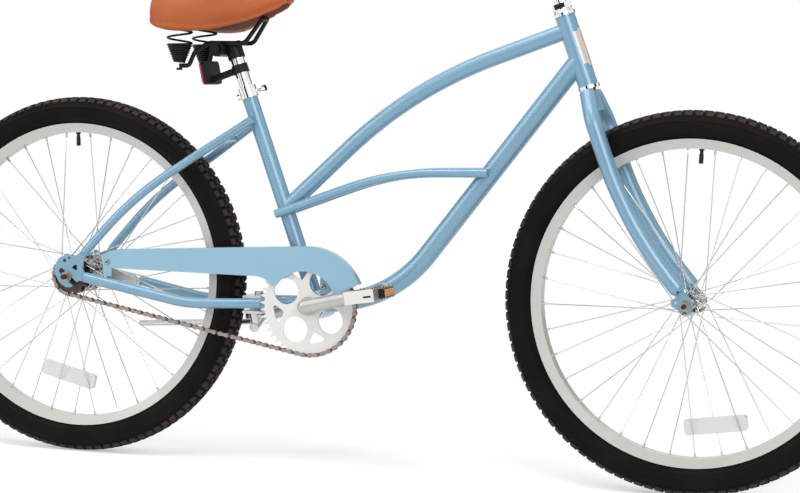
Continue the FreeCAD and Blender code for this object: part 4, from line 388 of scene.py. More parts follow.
def addLathe(work, profile, base, axis, segments):  # profile: closed list of (radius, height)
    first, second = sidesOf(axis)
    rings = []
    for step in range(segments):
        turn = 2 * math.pi * step / segments
        out = first * math.cos(turn) + second * math.sin(turn)
        rings.append([work.verts.new(base + out * radius + axis * height) for radius, height in profile])
    for near, far in zip(rings, rings[1:] + rings[:1]):
        for number in range(len(profile)):
            after = (number + 1) % len(profile)
            work.faces.new((near[number], near[after], far[after], far[number]))


def addTube(work, points, radius, sides):
    points = [Vector(point) for point in points]
    last = len(points) - 1
    heads = [(points[min(i + 1, last)] - points[max(i - 1, 0)]).normalized() for i in range(last + 1)]
    aside = heads[0].orthogonal().normalized()
    rings = []
    for point, head in zip(points, heads):
        aside = (aside - head * aside.dot(head)).normalized()
        other = head.cross(aside)
        ring = []
        for step in range(sides):
            turn = 2 * math.pi * step / sides
            ring.append(work.verts.new(point + (aside * math.cos(turn) + other * math.sin(turn)) * radius))
        rings.append(ring)
    for near, far in zip(rings, rings[1:]):
        for step in range(sides):
            after = (step + 1) % sides
            work.faces.new((near[step], near[after], far[after], far[step]))
    work.faces.new(rings[0])
    work.faces.new(rings[-1])


def addBox(work, corners):  # four corners below, then four above in the same order
    spots = [work.verts.new(corner) for corner in corners]
    for face in ((0, 1, 2, 3), (4, 5, 6, 7), (0, 1, 5, 4), (1, 2, 6, 5), (2, 3, 7, 6), (3, 0, 4, 7)):
        work.faces.new([spots[number] for number in face])


def addPlate(work, outline, low, high):  # a flat outline of points, from low to high along the axis across
    bottom = [work.verts.new(point + across * low) for point in outline]
    top = [work.verts.new(point + across * high) for point in outline]
    work.faces.new(bottom)
    work.faces.new(top)
    for number in range(len(outline)):
        after = (number + 1) % len(outline)
        work.faces.new((bottom[number], bottom[after], top[after], top[number]))


def piece(name, mesh, body, look, slot, replaced=()):
    made = placed(name, mesh)
    mesh.materials.clear()
    mesh.materials.append(finishes[look])
    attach(made, body)
    if replaced:
        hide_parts(*replaced)
    return made


nodeSharp = 32  # degrees
for look, names in nodeFinish.items():
    for name in names:
        part = nodes[name]
        part.material_slots[0].material = finishes[look]
        skin = part.modifiers.new("smoothSkin", "NODES")
        skin.node_group = trees["smooth"]
        setInputs(skin, {"Sharp": math.radians(nodeSharp)})
print("nodes painted")


# Tyres: a carcass and rings of tread blocks; the carcass rubber is darker than the blocks, which on the crown
# is painted shade between the blocks

tyre = {
    "crown": [(329.3, 0), (329.0, 6), (328.0, 11), (326.2, 15.5), (323.6, 19.5), (319.5, 23.0), (315.4, 24.9),
              (314.8, 25.9), (313.4, 26.3), (312.8, 25.7), (308, 26.4), (302, 26.2), (296, 24.6), (293.6, 23.3),
              (292.8, 23.5), (291.8, 22.1), (286.5, 17.4), (284.2, 14.2), (283.2, 12.1), (277.2, 11.9)],
    "inside": [(277.2, 9.3), (289, 14.5), (300, 20.5), (310, 21.5), (319, 17), (323, 9), (324, 0)],
    "segments": 220,
    "pitches": 110,
    "blocks": [(-6.4, 1.6, 0.9, 6.6, 2.5), (2.4, 8.6, 7.8, 13.8, 2.5), (-6.8, 6.4, 15.2, 23.4, 3.2)],
    "sink": 0.4, "inset": 0.55, "runRadius": 330,
}


def tyreMesh(name, centre):
    half = [(radius * mm, side * mm) for radius, side in tyre["crown"] + tyre["inside"]]
    other = [(radius, -side) for radius, side in reversed(half) if side > 0]
    return meshFrom(name, lambda work: addLathe(work, half + other, centre, across, tyre["segments"]), 60)


def crownSpot(along):  # place and outward direction at a length from the crown's middle
    line = tyre["crown"]
    for (radius, side), (nextRadius, nextSide) in zip(line, line[1:]):
        step = math.hypot(nextRadius - radius, nextSide - side)
        if along <= step:
            share = along / step
            out = Vector((0, radius - nextRadius, nextSide - side)).normalized()
            return Vector((0, side + (nextSide - side) * share, radius + (nextRadius - radius) * share)), out
        along -= step


def treadUnit(work):
    pitch = 2 * math.pi / tyre["pitches"]
    for side in (1, -1):
        for start, end, near, far, height in tyre["blocks"]:
            corners = []
            for rise, inset in ((-tyre["sink"], 0), (height, tyre["inset"])):
                for run, reach in ((start + inset, near + inset), (end - inset, near + inset),
                                   (end - inset, far - inset), (start + inset, far - inset)):
                    spot, out = crownSpot(reach)
                    spot = spot + out * rise
                    turn = run / tyre["runRadius"] + (pitch / 2 if side < 0 else 0)
                    corners.append(Vector((math.sin(turn) * spot.z, side * spot.y,
                                           math.cos(turn) * spot.z)) * mm)
            addBox(work, corners)


treadPiece = placed("treadUnit", meshFrom("treadUnit", treadUnit, 20))
for body, centre in (("front_wheel", frontAxle), ("rear_wheel", rearAxle)):
    end = body.split("_")[0]
    piece(end + "Tyre", tyreMesh(end + "Tyre", centre), body, "carcassRubberGapShade", "tyre_rubber", [end + "_tyre"])
    tread = grow(end + "Tread", "ring", {"Piece": treadPiece, "Count": tyre["pitches"], "Phase": 0.0,
                                         "Centre": centre, "Finish": finishes["treadRubber"]})
    piece(end + "Tread", tread, body, "treadRubber", "tyre_rubber")
bpy.data.objects.remove(treadPiece)
print("tyres made")


# Spokes: elbowed at the flange, with a nipple at the rim

spoke = {"count": 36, "lead": 60, "radius": 1.0, "headRadius": 1.9, "nippleRadius": 2.0, "nippleLength": 8,
         "rimReach": 266, "nippleSpread": 2.5, "laneGap": 0.9, "headSink": 0.2, "headTop": 1.6, "elbow": 0.25,
         "elbowRun": 2, "sides": 8,
         "front": {"valve": 87.8, "flange": 19.5, "thick": 2.5, "left": 34, "right": 34},
         "rear": {"valve": 91.9, "flange": 34, "thick": 3.2, "left": 27, "right": 24}}


def turnSpot(radius, angle, side):
    return Vector((math.cos(math.radians(angle)) * radius, side, math.sin(math.radians(angle)) * radius)) * mm


def spokeMesh(end, number):
    wheel = spoke[end]
    side, lead = ((-1, 1), (1, 1), (-1, -1), (1, -1))[number]
    flange = wheel["left"] if side > 0 else -wheel["right"]
    lane = wheel["thick"] / 2 + spoke["radius"] + spoke["laneGap"]
    angle = wheel["valve"] + 360 / spoke["count"] * (number + 0.5)
    hubAngle = angle + lead * spoke["lead"]
    hubReach = wheel["flange"] - wheel["thick"]
    hubEnd = turnSpot(hubReach, hubAngle, flange + side * lead * lane)
    headSpot, headTop = [turnSpot(hubReach, hubAngle, flange - side * lead * (wheel["thick"] / 2 + spoke[key]))
                         for key in ("headSink", "headTop")]
    rimEnd = turnSpot(spoke["rimReach"], angle, side * spoke["nippleSpread"])
    along = (rimEnd - hubEnd).normalized()
    nippleStart = rimEnd - along * spoke["nippleLength"] * mm

    def build(work):
        wire = [headSpot, hubEnd.lerp(headSpot, spoke["elbow"]), hubEnd + along * (spoke["elbowRun"] * mm),
                nippleStart]
        addTube(work, wire, spoke["radius"] * mm, spoke["sides"])
        addTube(work, [headTop, headSpot], spoke["headRadius"] * mm, spoke["sides"])
        addTube(work, [nippleStart, rimEnd], spoke["nippleRadius"] * mm, spoke["sides"])
    return meshFrom("spoke%d" % number, build, 40, fineWeld)


def joined(name, meshes):
    work = bmesh.new()
    for mesh in meshes:
        work.from_mesh(mesh)
    mesh = bpy.data.meshes.new(name)
    work.to_mesh(mesh)
    work.free()
    return mesh


for end, centre in (("front", frontAxle), ("rear", rearAxle)):
    sets = []
    for number in range(4):
        single = placed("spokeUnit", spokeMesh(end, number))
        sets.append(grow("spokeSet", "ring", {"Piece": single, "Count": spoke["count"] // 4, "Phase": 0.0,
                                              "Centre": centre, "Finish": finishes["spokeSteel"]}))
        bpy.data.objects.remove(single)
    whole = joined(end + "Spokes", sets)
    smooth(whole, 40)
    piece(end + "Spokes", whole, end + "_wheel", "spokeSteel", "zinc_steel", [end + "_spokes"])
print("spokes laced")


# Valves: stem, nut and cap

valve = {"sink": 0.1, "segments": 20,
         "profile": [(0, 0), (4.6, 0), (4.6, 3), (3.1, 3), (3.1, 9), (3.9, 10), (3.9, 24), (3.2, 25.5),
                     (0, 25.5)]}
for end, centre in (("front", frontAxle), ("rear", rearAxle)):
    outward = turnSpot(spoke["rimReach"] - valve["sink"], spoke[end]["valve"], 0)
    outline = [(radius * mm, height * mm) for radius, height in valve["profile"]]
    mesh = meshFrom(end + "Valve", lambda work: addLathe(work, outline, centre + outward, -outward.normalized(),
                                                         valve["segments"]), 40)
    piece(end + "Valve", mesh, end + "_wheel", "blackPlastic", "black_plastic", [end + "_valve"])


# Roller chain: outer and inner links placed pin by pin

chain = {"pitch": 12.7, "count": 106, "ring": 44, "sprocket": 17, "line": -43.5, "plateHalf": 4.2, "waist": 2.3,
         "plate": 1.1, "innerHalf": 1.65, "gap": 0.1, "roller": 3.87, "rollerPlay": 0.05, "pin": 1.9,
         "pinProud": 0.55, "endArc": 150, "endSteps": 6, "sides": 10}


def chainPins():
    ringRadius = chain["pitch"] / (2 * math.sin(math.pi / chain["ring"])) * mm
    sprocketRadius = chain["pitch"] / (2 * math.sin(math.pi / chain["sprocket"])) * mm
    run = shellCentre - rearAxle
    lean = math.asin((ringRadius - sprocketRadius) / run.length)
    base = math.atan2(run.z, run.x)
    upper, lower = base + math.pi / 2 + lean, base - math.pi / 2 - lean
    ringWrap, sprocketWrap = ringRadius * (math.pi + 2 * lean), sprocketRadius * (math.pi - 2 * lean)
    straight = run.length * math.cos(lean)

    def heading(angle):
        return Vector((math.cos(angle), 0, math.sin(angle)))
    pins = []
    for number in range(chain["count"]):
        length = number * chain["pitch"] * mm
        if length < ringWrap:
            spot = shellCentre + heading(upper - length / ringRadius) * ringRadius
        elif length < ringWrap + straight:
            rest = length - ringWrap
            spot = shellCentre + heading(lower) * ringRadius + heading(lower - math.pi / 2) * rest
        elif length < ringWrap + straight + sprocketWrap:
            spot = rearAxle + heading(lower - (length - ringWrap - straight) / sprocketRadius) * sprocketRadius
        else:
            rest = length - ringWrap - straight - sprocketWrap
            spot = rearAxle + heading(upper) * sprocketRadius + heading(upper - math.pi / 2) * rest
        pins.append(spot + across * chain["line"] * mm)
    return pins


def linkOutline():
    half, arc, points = chain["pitch"] / 2, chain["endArc"], []
    for centre, start in ((half, -arc / 2), (-half, 180 - arc / 2)):
        for step in range(chain["endSteps"] + 1):
            angle = math.radians(start + arc * step / chain["endSteps"])
            points.append((centre + chain["plateHalf"] * math.cos(angle), chain["plateHalf"] * math.sin(angle)))
        points.append((0, chain["waist"] if centre > 0 else -chain["waist"]))
    return [Vector((x, 0, z)) * mm for x, z in points]


def linkMesh(outer):
    near = chain["innerHalf"] + (chain["plate"] + chain["gap"] if outer else 0)

    def build(work):
        for side in (1, -1):
            addPlate(work, linkOutline(), side * near * mm, side * (near + chain["plate"]) * mm)
        for end in (-chain["pitch"] / 2, chain["pitch"] / 2):
            reach = near + chain["plate"] + chain["pinProud"] if outer else near - chain["rollerPlay"]
            radius = chain["pin"] if outer else chain["roller"]
            addTube(work, [Vector((end, -reach, 0)) * mm, Vector((end, reach, 0)) * mm], radius * mm,
                    chain["sides"])
    return meshFrom("outerLink" if outer else "innerLink", build, 40, fineWeld)


def chainMesh():
    pins = chainPins()
    runs = []
    for outer in (True, False):
        spots, turns = [], []
        for number in range(1 if outer else 0, len(pins), 2):
            first, second = pins[number], pins[(number + 1) % len(pins)]
            spots.append((first + second) / 2)
            run = second - first
            turns.append(Vector((0, -math.atan2(run.z, run.x), 0)))
        base = bpy.data.meshes.new("linkSpots")
        base.from_pydata(spots, [], [])
        turnLayer = base.attributes.new("turn", "FLOAT_VECTOR", "POINT")
        for entry, turn in zip(turnLayer.data, turns):
            entry.vector = turn
        unit = placed("linkUnit", linkMesh(outer))
        # inner links get the darker steel as painted shade between the outer plates
        look = finishes["chainSteel" if outer else "innerSteelPaintedShade"]
        runs.append(grow("links", "path", {"Piece": unit, "Finish": look}, base))
        bpy.data.objects.remove(unit)
    return runs


outerLinks, innerLinks = chainMesh()
piece("outerLinks", outerLinks, "frame", "chainSteel", "zinc_steel", ["drive_chain"])
piece("innerLinks", innerLinks, "frame", "innerSteelPaintedShade", "zinc_steel", ["drive_chain"])
print("chain linked")


# Saddle springs: one wire each, a close cone below open turns

spring = {"behind": 252.97, "side": 55, "foot": 731, "waist": 764, "top": 793.4, "radius": 22, "footRadius": 9,
          "wire": 2.0, "tight": 8, "loose": 1.5, "steps": 28, "sides": 10}


def springPath(side):
    total = spring["tight"] + spring["loose"]
    points = []
    for number in range(int(total * spring["steps"]) + 1):
        turns = number / spring["steps"]
        share = min(turns / spring["tight"], 1)
        radius = spring["footRadius"] + (spring["radius"] - spring["footRadius"]) * share
        height = spring["foot"] + (spring["waist"] - spring["foot"]) * share
        if turns > spring["tight"]:
            rest = (turns - spring["tight"]) / spring["loose"]
            height = spring["waist"] + (spring["top"] - spring["waist"]) * rest
        angle = 2 * math.pi * turns
        points.append(Vector((shellCentre.x / mm - spring["behind"] + radius * math.cos(angle),
                              side * spring["side"] + radius * math.sin(angle), height)) * mm)
    return points


def springMesh(work):
    for side in (-1, 1):
        addTube(work, springPath(side), spring["wire"] * mm, spring["sides"])


piece("saddleSprings", meshFrom("saddleSprings", springMesh, 50), "seatpost", "blackEnamel", "black_paint",
      ["saddle_springs"])


# Saddle cushion: swollen by cloth from a shape a little smaller than its place

saddle = {"shrink": 3.0, "voxel": 4.0, "relax": 16, "floorLean": -0.35, "pressure": 4.0, "quality": 6,
          "frames": 20, "cap": 6.0, "fill": 0.85}


def looseCopy(name):
    work = bmesh.new()
    work.from_mesh(nodes[name].data)
    bmesh.ops.remove_doubles(work, verts=work.verts, dist=weld)
    mesh = bpy.data.meshes.new(name + "Copy")
    work.to_mesh(mesh)
    work.free()
    return mesh


def cushionMesh():
    holder = placed("cushionWork", looseCopy("saddle_cover"))
    remesh = holder.modifiers.new("remesh", "REMESH")
    remesh.mode = "VOXEL"
    remesh.voxel_size = saddle["voxel"] * mm
    relax = holder.modifiers.new("relax", "CORRECTIVE_SMOOTH")
    relax.use_only_smooth = True
    relax.iterations = saddle["relax"]
    start = evaluated(holder)
    bpy.data.objects.remove(holder)
    floor = [vertex.normal.z < saddle["floorLean"] for vertex in start.vertices]
    for vertex, resting in zip(start.vertices, floor):
        if not resting:
            vertex.co -= vertex.normal * saddle["shrink"] * mm
    holder = placed("cushionCloth", start)
    held = holder.vertex_groups.new(name="held")
    held.add([number for number, resting in enumerate(floor) if resting], 1.0, "REPLACE")
    cloth = holder.modifiers.new("cloth", "CLOTH")
    cloth.settings.use_pressure = True
    cloth.settings.uniform_pressure_force = saddle["pressure"]
    cloth.settings.effector_weights.gravity = 0
    cloth.settings.vertex_group_mass = "held"
    cloth.settings.quality = saddle["quality"]
    for number in range(1, saddle["frames"] + 1):
        scene.frame_set(number)
    swollen = evaluated(holder)
    scene.frame_set(1)
    bpy.data.objects.remove(holder)
    for vertex, old in zip(swollen.vertices, start.vertices):
        shift = vertex.co - old.co
        if shift.length > saddle["cap"] * mm:
            vertex.co = old.co + shift.normalized() * saddle["cap"] * mm
    holder = placed("cushionDone", swollen)
    finer = holder.modifiers.new("finer", "SUBSURF")
    finer.levels = finer.render_levels = 1
    done = evaluated(holder)
    bpy.data.objects.remove(holder)
    return done


cushion = cushionMesh()
smooth(cushion, 60)
cover = piece("saddleCushion", cushion, "saddle", "saddleVinyl", "saddle_vinyl", ["saddle_cover"])
print("saddle padded")


# Grips: ribbed rubber with an end flange

grip = {"bar": 11.15, "mouth": 14, "bevel": 2, "radius": 16.0, "rib": 16.5, "flange": 20, "round": 1,
        "length": 130, "flangeWidth": 6, "margin": 4, "ribs": 20, "ribShares": (0.2, 0.6, 0.8), "segments": 40}
bar = {"clamp": (381.7839, 0, 890.5121), "pull": 205, "half": 338, "rise": 105,
       "inner": (-0.1, 0.64, 1), "tip": (-1, 1, 0.81)}  # ends as shares of pull, half and rise


def gripProfile():
    line = [(grip["bar"], 0), (grip["mouth"], 0), (grip["radius"], grip["bevel"])]
    edge = grip["length"] - grip["flangeWidth"]
    step = (edge - 2 * grip["margin"]) / grip["ribs"]
    rise, level, fall = grip["ribShares"]
    for number in range(grip["ribs"]):
        start = grip["margin"] + number * step
        line += [(grip["radius"], start), (grip["rib"], start + step * rise),
                 (grip["rib"], start + step * level), (grip["radius"], start + step * fall)]
    wide, end, turn = grip["flange"], grip["length"], grip["round"]
    line += [(grip["radius"], edge), (wide - turn, edge), (wide, edge + turn), (wide, end - turn),
             (wide - turn, end), (grip["bar"], end)]
    return [(radius * mm, height * mm) for radius, height in line]


def barSpot(end, side):
    ahead, out, up = bar[end]
    shift = Vector((bar["pull"] * ahead, side * bar["half"] * out, bar["rise"] * up))
    return Vector(bar["clamp"]) * mm + shift * mm


def gripMesh(work):
    for side in (-1, 1):
        inner, tip = barSpot("inner", side), barSpot("tip", side)
        addLathe(work, gripProfile(), tip, (inner - tip).normalized(), grip["segments"])


piece("barGrips", meshFrom("barGrips", gripMesh, 30), "steering", "gripRubber", "grip_rubber", ["grips"])


# Badge plate, left bare, bent round the front of the head tube

badge = {"radius": 17.55, "thick": 0.7, "half": 62, "tab": 26, "reach": 29.5, "tabReach": 33.5, "middle": 66.5,
         "columns": 24, "rows": 16, "blend": 6, "rivet": 1.5, "rivetIn": 2.6, "rivetSink": 0.1}
steerUp = jointAxis["steering"]
steerAhead = Vector((steerUp.z, 0, -steerUp.x))


def badgeSpot(angle, height, lift):
    turn = math.radians(angle)
    out = steerAhead * math.cos(turn) + across * math.sin(turn)
    rise = steerUp * (badge["middle"] + height) * mm
    return jointSpot["steering"] + out * (badge["radius"] + lift) * mm + rise


def badgeMesh(work):
    grids = []
    for lift in (0.0, badge["thick"]):
        grid = []
        for column in range(badge["columns"] + 1):
            angle = badge["half"] * (2 * column / badge["columns"] - 1)
            edge = min(max((abs(angle) - badge["tab"]) / badge["blend"], 0), 1)
            reach = badge["tabReach"] + (badge["reach"] - badge["tabReach"]) * edge
            grid.append([work.verts.new(badgeSpot(angle, reach * (2 * row / badge["rows"] - 1), lift))
                         for row in range(badge["rows"] + 1)])
        grids.append(grid)
        for left, right in zip(grid, grid[1:]):
            for row in range(badge["rows"]):
                work.faces.new((left[row], left[row + 1], right[row + 1], right[row]))
    low, high = grids
    rims = [[column[0] for column in grid] + grid[-1][1:] + [column[-1] for column in grid[-2::-1]]
            + grid[0][-2:0:-1] for grid in (low, high)]
    for number in range(len(rims[0])):
        after = (number + 1) % len(rims[0])
        work.faces.new((rims[0][number], rims[0][after], rims[1][after], rims[1][number]))
    wide = badge["rivet"] * mm
    for height in (badge["rivetIn"] - badge["tabReach"], badge["tabReach"] - badge["rivetIn"]):
        addLathe(work, [(0, 0), (wide, 0), (wide * 0.7, 0.5 * mm), (0, 0.7 * mm)],
                 badgeSpot(0, height, badge["thick"] - badge["rivetSink"]), steerAhead, 12)


piece("badgePlate", meshFrom("badgePlate", badgeMesh, 30), "frame", "badgePlate", "chrome")


# Pedals: end plate, deck slats, lens holders and lenses, in the pedal's own directions

pedal = {"right": ("right_pedal_spin", -1), "left": ("left_pedal_spin", 1), "tilt": 9, "middle": 132,
         "plate": [(-27, 27, 0, 11), (-27, 27, -11.5, -3.2), (-27, 7.6, -3.2, 0), (22.3, 27, -3.2, 0)],
         "plateFrom": 184.1, "plateTo": 185.6, "slats": 6, "slatFrom": 86, "slatStep": 16.3, "slatWide": 12,
         "slatReach": 24.5, "slatHalf": 9, "slatInset": 1.2,  # below: from, to, half, rise, inset
         "holder": (27.1, 37.5, 27, 8.6, 1.0), "lens": (37.4, 39.6, 23, 6.6, 0.9)}


def pedalSpot(joint, side, ahead, out, rise):
    turned = Matrix.Rotation(math.radians(-pedal["tilt"]), 3, "Y") @ Vector((ahead, 0, rise))
    axis = jointSpot[joint]
    return Vector((axis.x + turned.x * mm, side * out * mm, axis.z + turned.z * mm))


def pedalBox(work, end, aheads, outs, rises, inset=0):  # inset narrows the face that lies furthest ahead
    joint, side = pedal[end]
    corners = []
    for ahead, less in ((aheads[0], 0), (aheads[1], inset)):
        for out, rise in ((outs[0] + less, rises[0] + less), (outs[1] - less, rises[0] + less),
                          (outs[1] - less, rises[1] - less), (outs[0] + less, rises[1] - less)):
            corners.append(pedalSpot(joint, side, ahead, out, rise))
    addBox(work, corners)


def pedalPlate(work, end):
    for near, far, low, high in pedal["plate"]:
        pedalBox(work, end, (near, far), (pedal["plateFrom"], pedal["plateTo"]), (low, high))


def pedalEnds(work, end, key):  # one block ahead of the spindle and one behind it
    near, far, half, rise, inset = pedal[key]
    for ahead in (-1, 1):
        pedalBox(work, end, (ahead * near, ahead * far), (pedal["middle"] - half, pedal["middle"] + half),
                 (-rise, rise), inset)


def pedalDeck(work, end):
    for number in range(pedal["slats"]):
        out = pedal["slatFrom"] + pedal["slatStep"] * number
        for ahead in (-1, 1):
            pedalBox(work, end, (0, ahead * pedal["slatReach"]), (out, out + pedal["slatWide"]),
                     (-pedal["slatHalf"], pedal["slatHalf"]), pedal["slatInset"])
    pedalEnds(work, end, "holder")


def pedalLens(work, end):
    pedalEnds(work, end, "lens")


pedalPieces = [("PedalPlate", pedalPlate, "ringSilver", "zinc_steel"),
               ("PedalDeck", pedalDeck, "blackPlastic", "black_plastic"),
               ("PedalLens", pedalLens, "amberLens", "black_plastic")]
for end in ("right", "left"):
    for label, build, look, slot in pedalPieces:
        mesh = meshFrom(end + label, lambda work: build(work, end), 20, fineWeld)
        piece(end + label, mesh, end + "_pedal", look, slot)


# Fork blade ends: a rounded cap with a vent hole, the hole drawn as a dark disc of painted shade

blade = {"drop": 379.9, "ahead": 46.41, "side": 52, "radius": 14.3, "rise": 10.4, "steps": 10, "bend": 19.8,
         "sink": 1, "segments": 36, "vent": 2.1, "ventTurn": 52, "ventSegments": 16}
bend = math.radians(blade["bend"])
bladeDown = steerAhead * math.sin(bend) - steerUp * math.cos(bend)
bladeEnd = jointSpot["steering"] + (steerAhead * blade["ahead"] - steerUp * blade["drop"]) * mm


def capMesh(work):
    wide, sink = blade["radius"] * mm, blade["sink"] * mm
    turns = [math.pi / 2 * step / blade["steps"] for step in range(blade["steps"] + 1)]
    dome = [(blade["radius"] * math.cos(turn) * mm, blade["rise"] * math.sin(turn) * mm) for turn in turns]
    for side in (-1, 1):
        addLathe(work, [(0, -sink), (wide, -sink)] + dome, bladeEnd + across * side * blade["side"] * mm,
                 bladeDown, blade["segments"])


def ventShadeMesh(work):
    turn = math.radians(blade["ventTurn"])
    rim, sink = blade["vent"] * mm, blade["sink"] * mm
    for side in (-1, 1):
        spot = bladeDown * blade["rise"] * math.cos(turn) + across * side * blade["radius"] * math.sin(turn)
        out = bladeDown * math.cos(turn) / blade["rise"] + across * side * math.sin(turn) / blade["radius"]
        spot = bladeEnd + (across * side * blade["side"] + spot) * mm
        addLathe(work, [(0, -sink), (rim, -sink), (rim, 0.1 * mm), (0, 0.25 * mm)], spot, out.normalized(),
                 blade["ventSegments"])


piece("bladeCaps", meshFrom("bladeCaps", capMesh, 40), "steering", "bluePaint", "frame_paint")
# the vent discs are painted shade: dark discs where the hole's shade falls
piece("bladeVents", meshFrom("bladeVents", ventShadeMesh, 40), "steering", "paintedShadeDark", "black_plastic")


# Guard screws, with a socket in the head and a dark disc of painted shade in the socket

screw = {"spots": [(-503.4, -51.5, 361.8), (-82.0, -36.5, 333.6)], "radius": 5.0, "height": 3.2, "socket": 1.9,
         "foot": 0.2}


def screwMesh(work):
    wide, tall, hole = screw["radius"] * mm, screw["height"] * mm, screw["socket"] * mm
    for spot in screw["spots"]:
        addLathe(work, [(0, 0), (wide, 0), (wide, tall * 0.35), (wide * 0.8, tall * 0.8), (hole * 1.15, tall),
                        (hole, tall), (hole, tall * 0.5), (0, tall * 0.5)], Vector(spot) * mm, -across, 24)


def socketShadeMesh(work):
    hole, tall, foot = screw["socket"] * mm, screw["height"] * mm, screw["foot"] * mm
    for spot in screw["spots"]:
        addLathe(work, [(0, foot), (hole, foot), (hole, tall * 0.8), (0, tall * 0.75)], Vector(spot) * mm,
                 -across, 6)


piece("guardScrews", meshFrom("guardScrews", screwMesh, 30), "frame", "nutSteel", "zinc_steel")
# the socket discs are painted shade, darker than the recess would fall by itself
piece("screwSockets", meshFrom("screwSockets", socketShadeMesh, 30), "frame", "paintedShadeDark", "zinc_steel")


# Rear reflector: red lens on the housing's back, bolts through the bracket's arm

lamp = {"centre": (-322.3, 0, 712.45), "tilt": 12, "wide": 70, "tall": 42, "from": 1.4, "to": 5.2, "grow": 0.5,
        "corner": 8, "cornerSteps": 4, "bevel": 0.8, "bolts": [(-281.5, 713.4), (-296.0, 708.0)],
        "boltRadius": 4.6, "boltFace": 4.0, "boltHeight": 2.2}


def lampLens(work):
    turn = Matrix.Rotation(math.radians(-lamp["tilt"]), 3, "Y")
    half, tall, corner = lamp["wide"] / 2 + lamp["grow"], lamp["tall"] / 2 + lamp["grow"], lamp["corner"]
    ahead, height = lamp["centre"][0], lamp["centre"][2]
    rings = []
    for depth, inset in ((lamp["from"], 0), (lamp["to"] - lamp["bevel"], 0), (lamp["to"], lamp["bevel"])):
        ring = []
        for side, rise, start in ((1, 1, 0), (-1, 1, 90), (-1, -1, 180), (1, -1, 270)):
            for step in range(lamp["cornerSteps"] + 1):
                angle = math.radians(start + 90 / lamp["cornerSteps"] * step)
                out = side * (half - corner) + (corner - inset) * math.cos(angle)
                up = rise * (tall - corner) + (corner - inset) * math.sin(angle)
                spot = turn @ Vector((-depth, 0, up))
                ring.append(work.verts.new(Vector((ahead + spot.x, out, height + spot.z)) * mm))
        rings.append(ring)
    work.faces.new(rings[0])
    work.faces.new(rings[-1])
    for near, far in zip(rings, rings[1:]):
        for number in range(len(near)):
            after = (number + 1) % len(near)
            work.faces.new((near[number], near[after], far[after], far[number]))


def lampBolts(work):
    wide, tall = lamp["boltRadius"] * mm, lamp["boltHeight"] * mm
    head = [(0, -tall), (wide, -tall), (wide, tall * 0.6), (wide * 0.7, tall), (wide * 0.5, tall),
            (wide * 0.45, tall * 0.4), (0, tall * 0.4)]
    for side in (-1, 1):
        for x, z in lamp["bolts"]:
            addLathe(work, head, Vector((x, side * lamp["boltFace"], z)) * mm, across * side, 20)


piece("rearLens", meshFrom("rearLens", lampLens, 30), "seatpost", "redLens", "red_lens")
piece("lampBolts", meshFrom("lampBolts", lampBolts, 30), "seatpost", "blackEnamel", "black_plastic")
print("small pieces made")


# Studio: pale floor, soft lamps, dark cards that only metal sees

studio = {"floorHalf": 3.2, "floorTone": 0.82, "floorGlow": 0.42, "sky": 0.5, "fadeFrom": 1.1, "fadeTo": 2.1}


def seenRays(sheet):  # 1 for a ray from the camera, a mirror or a lens
    first, second, third = [sheet.node("ShaderNodeLightPath", out="Is %s Ray" % name)
                            for name in ("Camera", "Glossy", "Transmission")]
    return first + second + third


def floorFinish():
    made = bpy.data.materials.new("studioFloor")
    made.use_nodes = True
    made.node_tree.nodes.clear()
    sheet = NodeSheet(made.node_tree)
    matt = sheet.node("ShaderNodeBsdfDiffuse", {}, {"Color": (studio["floorTone"],) * 3 + (1,)})
    glow = sheet.node("ShaderNodeEmission", {}, {"Color": (1, 1, 1, 1),
                                                 "Strength": seenRays(sheet) * studio["floorGlow"]})
    both = sheet.node("ShaderNodeAddShader", {}, {0: matt, 1: glow})
    where = sheet.node("ShaderNodeTexCoord", out="Object")
    reach = sheet.node("ShaderNodeVectorMath", {"operation": "LENGTH"}, {0: where}, "Value")
    fade = sheet.node("ShaderNodeMapRange", {"interpolation_type": "SMOOTHSTEP"},
                      {"Value": reach, "From Min": studio["fadeFrom"], "From Max": studio["fadeTo"]})
    clear = sheet.node("ShaderNodeBsdfTransparent")
    mixed = sheet.node("ShaderNodeMixShader", {}, {0: fade, 1: both, 2: clear})
    sheet.node("ShaderNodeOutputMaterial", {}, {"Surface": mixed})
    return made


def flat(name, corners, look):
    mesh = bpy.data.meshes.new(name)
    mesh.from_pydata(corners, [], [(0, 1, 2, 3)])
    mesh.materials.append(look)
    made = placed(name, mesh)
    return made


half = studio["floorHalf"]
flat("studioFloor", [(-half, -half, 0), (half, -half, 0), (half, half, 0), (-half, half, 0)], floorFinish())

world = bpy.data.worlds.new("studioSky")
scene.world = world
world.use_nodes = True
world.node_tree.nodes.clear()
sky = NodeSheet(world.node_tree)
bright = sky.node("ShaderNodeBackground", {}, {"Color": (1, 1, 1, 1), "Strength": 1.0})
dim = sky.node("ShaderNodeBackground", {}, {"Color": (1, 1, 1, 1), "Strength": studio["sky"]})
mixed = sky.node("ShaderNodeMixShader", {}, {0: seenRays(sky), 1: dim, 2: bright})
sky.node("ShaderNodeOutputWorld", {}, {"Surface": mixed})

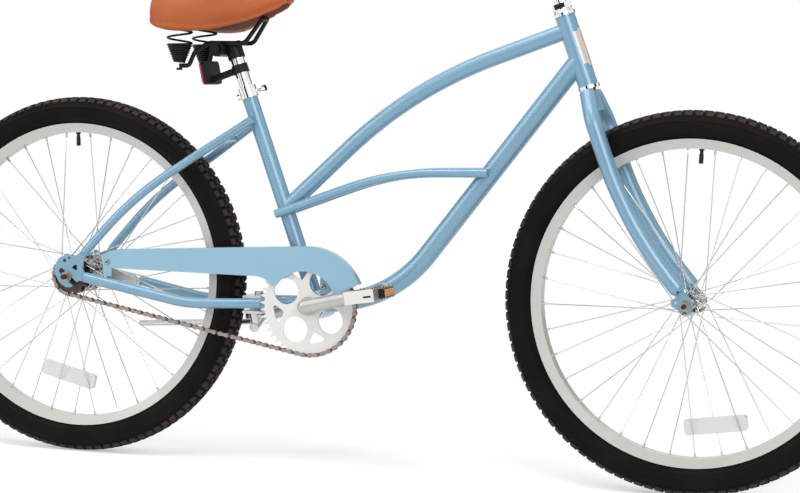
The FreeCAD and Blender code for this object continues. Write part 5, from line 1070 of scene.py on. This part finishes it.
lamps = [("overhead", (-0.6, -1.2, 3.4), (0.0, 0.0, 0.4), 3.2, 1.6, 46),
         ("front", (2.6, -3.4, 2.2), (0.1, 0.0, 0.4), 1.8, 1.8, 50),
         ("left", (-3.2, -2.6, 1.8), (-0.2, 0.0, 0.4), 1.4, 1.8, 32)]
for name, spot, aim, wide, tall, power in lamps:
    light = bpy.data.lights.new(name, "AREA")
    light.shape = "RECTANGLE"
    light.size, light.size_y, light.energy = wide, tall, power
    holder = placed(name, light)
    holder.location = spot
    holder.rotation_euler = (Vector(aim) - Vector(spot)).to_track_quat("-Z", "Y").to_euler()

cardLook = finish("darkCard", {"Roughness": 0.9}, lambda sheet, where: {
    "Base Color": sheet.blend(sheet.noise(where, 3, 2), (0.01, 0.01, 0.01, 1), (0.02, 0.02, 0.02, 1))})
cardRing = {"radius": 6.5, "facing": -70.7, "low": 0.02, "high": 3.6,
            "spans": [(16, 34), (56, 84), (-34, -16), (-84, -56), (120, 150), (-150, -120)]}


def cardSpot(angle, height):
    turn = math.radians(cardRing["facing"] + angle)
    return (cardRing["radius"] * math.cos(turn), cardRing["radius"] * math.sin(turn), height)


cards = [("card%d" % number, [cardSpot(start, cardRing["low"]), cardSpot(end, cardRing["low"]),
                              cardSpot(end, cardRing["high"]), cardSpot(start, cardRing["high"])])
         for number, (start, end) in enumerate(cardRing["spans"])]
for name, corners in cards:
    card = flat(name, corners, cardLook)
    card.visible_camera = False
    card.visible_diffuse = False
    card.visible_shadow = False


# Camera at the photograph's place

lens = {"spot": (1.437, -3.963, 0.718), "yaw": 19.29, "pitch": 4.21, "roll": 0.95, "focal": 2357.0,
        "width": 800.0, "sensor": 36, "clip": (0.05, 100)}  # focal and width in pixels
yaw, pitch, roll = [math.radians(lens[key]) for key in ("yaw", "pitch", "roll")]
back = Vector((math.sin(yaw) * math.cos(pitch), -math.cos(yaw) * math.cos(pitch), math.sin(pitch)))
right = Vector((math.cos(yaw), math.sin(yaw), 0))
up = back.cross(right)
right, up = right * math.cos(roll) + up * math.sin(roll), up * math.cos(roll) - right * math.sin(roll)
view = bpy.data.cameras.new("photoCamera")
view.sensor_fit = "HORIZONTAL"
view.sensor_width = lens["sensor"]
view.lens = lens["focal"] * view.sensor_width / lens["width"]
view.clip_start, view.clip_end = lens["clip"]
camera = placed("photoCamera", view)
camera.matrix_world = Matrix((right, up, back)).transposed().to_4x4()
camera.location = lens["spot"]
scene.camera = camera
scene.view_settings.view_transform = "Standard"

print("scene ready")
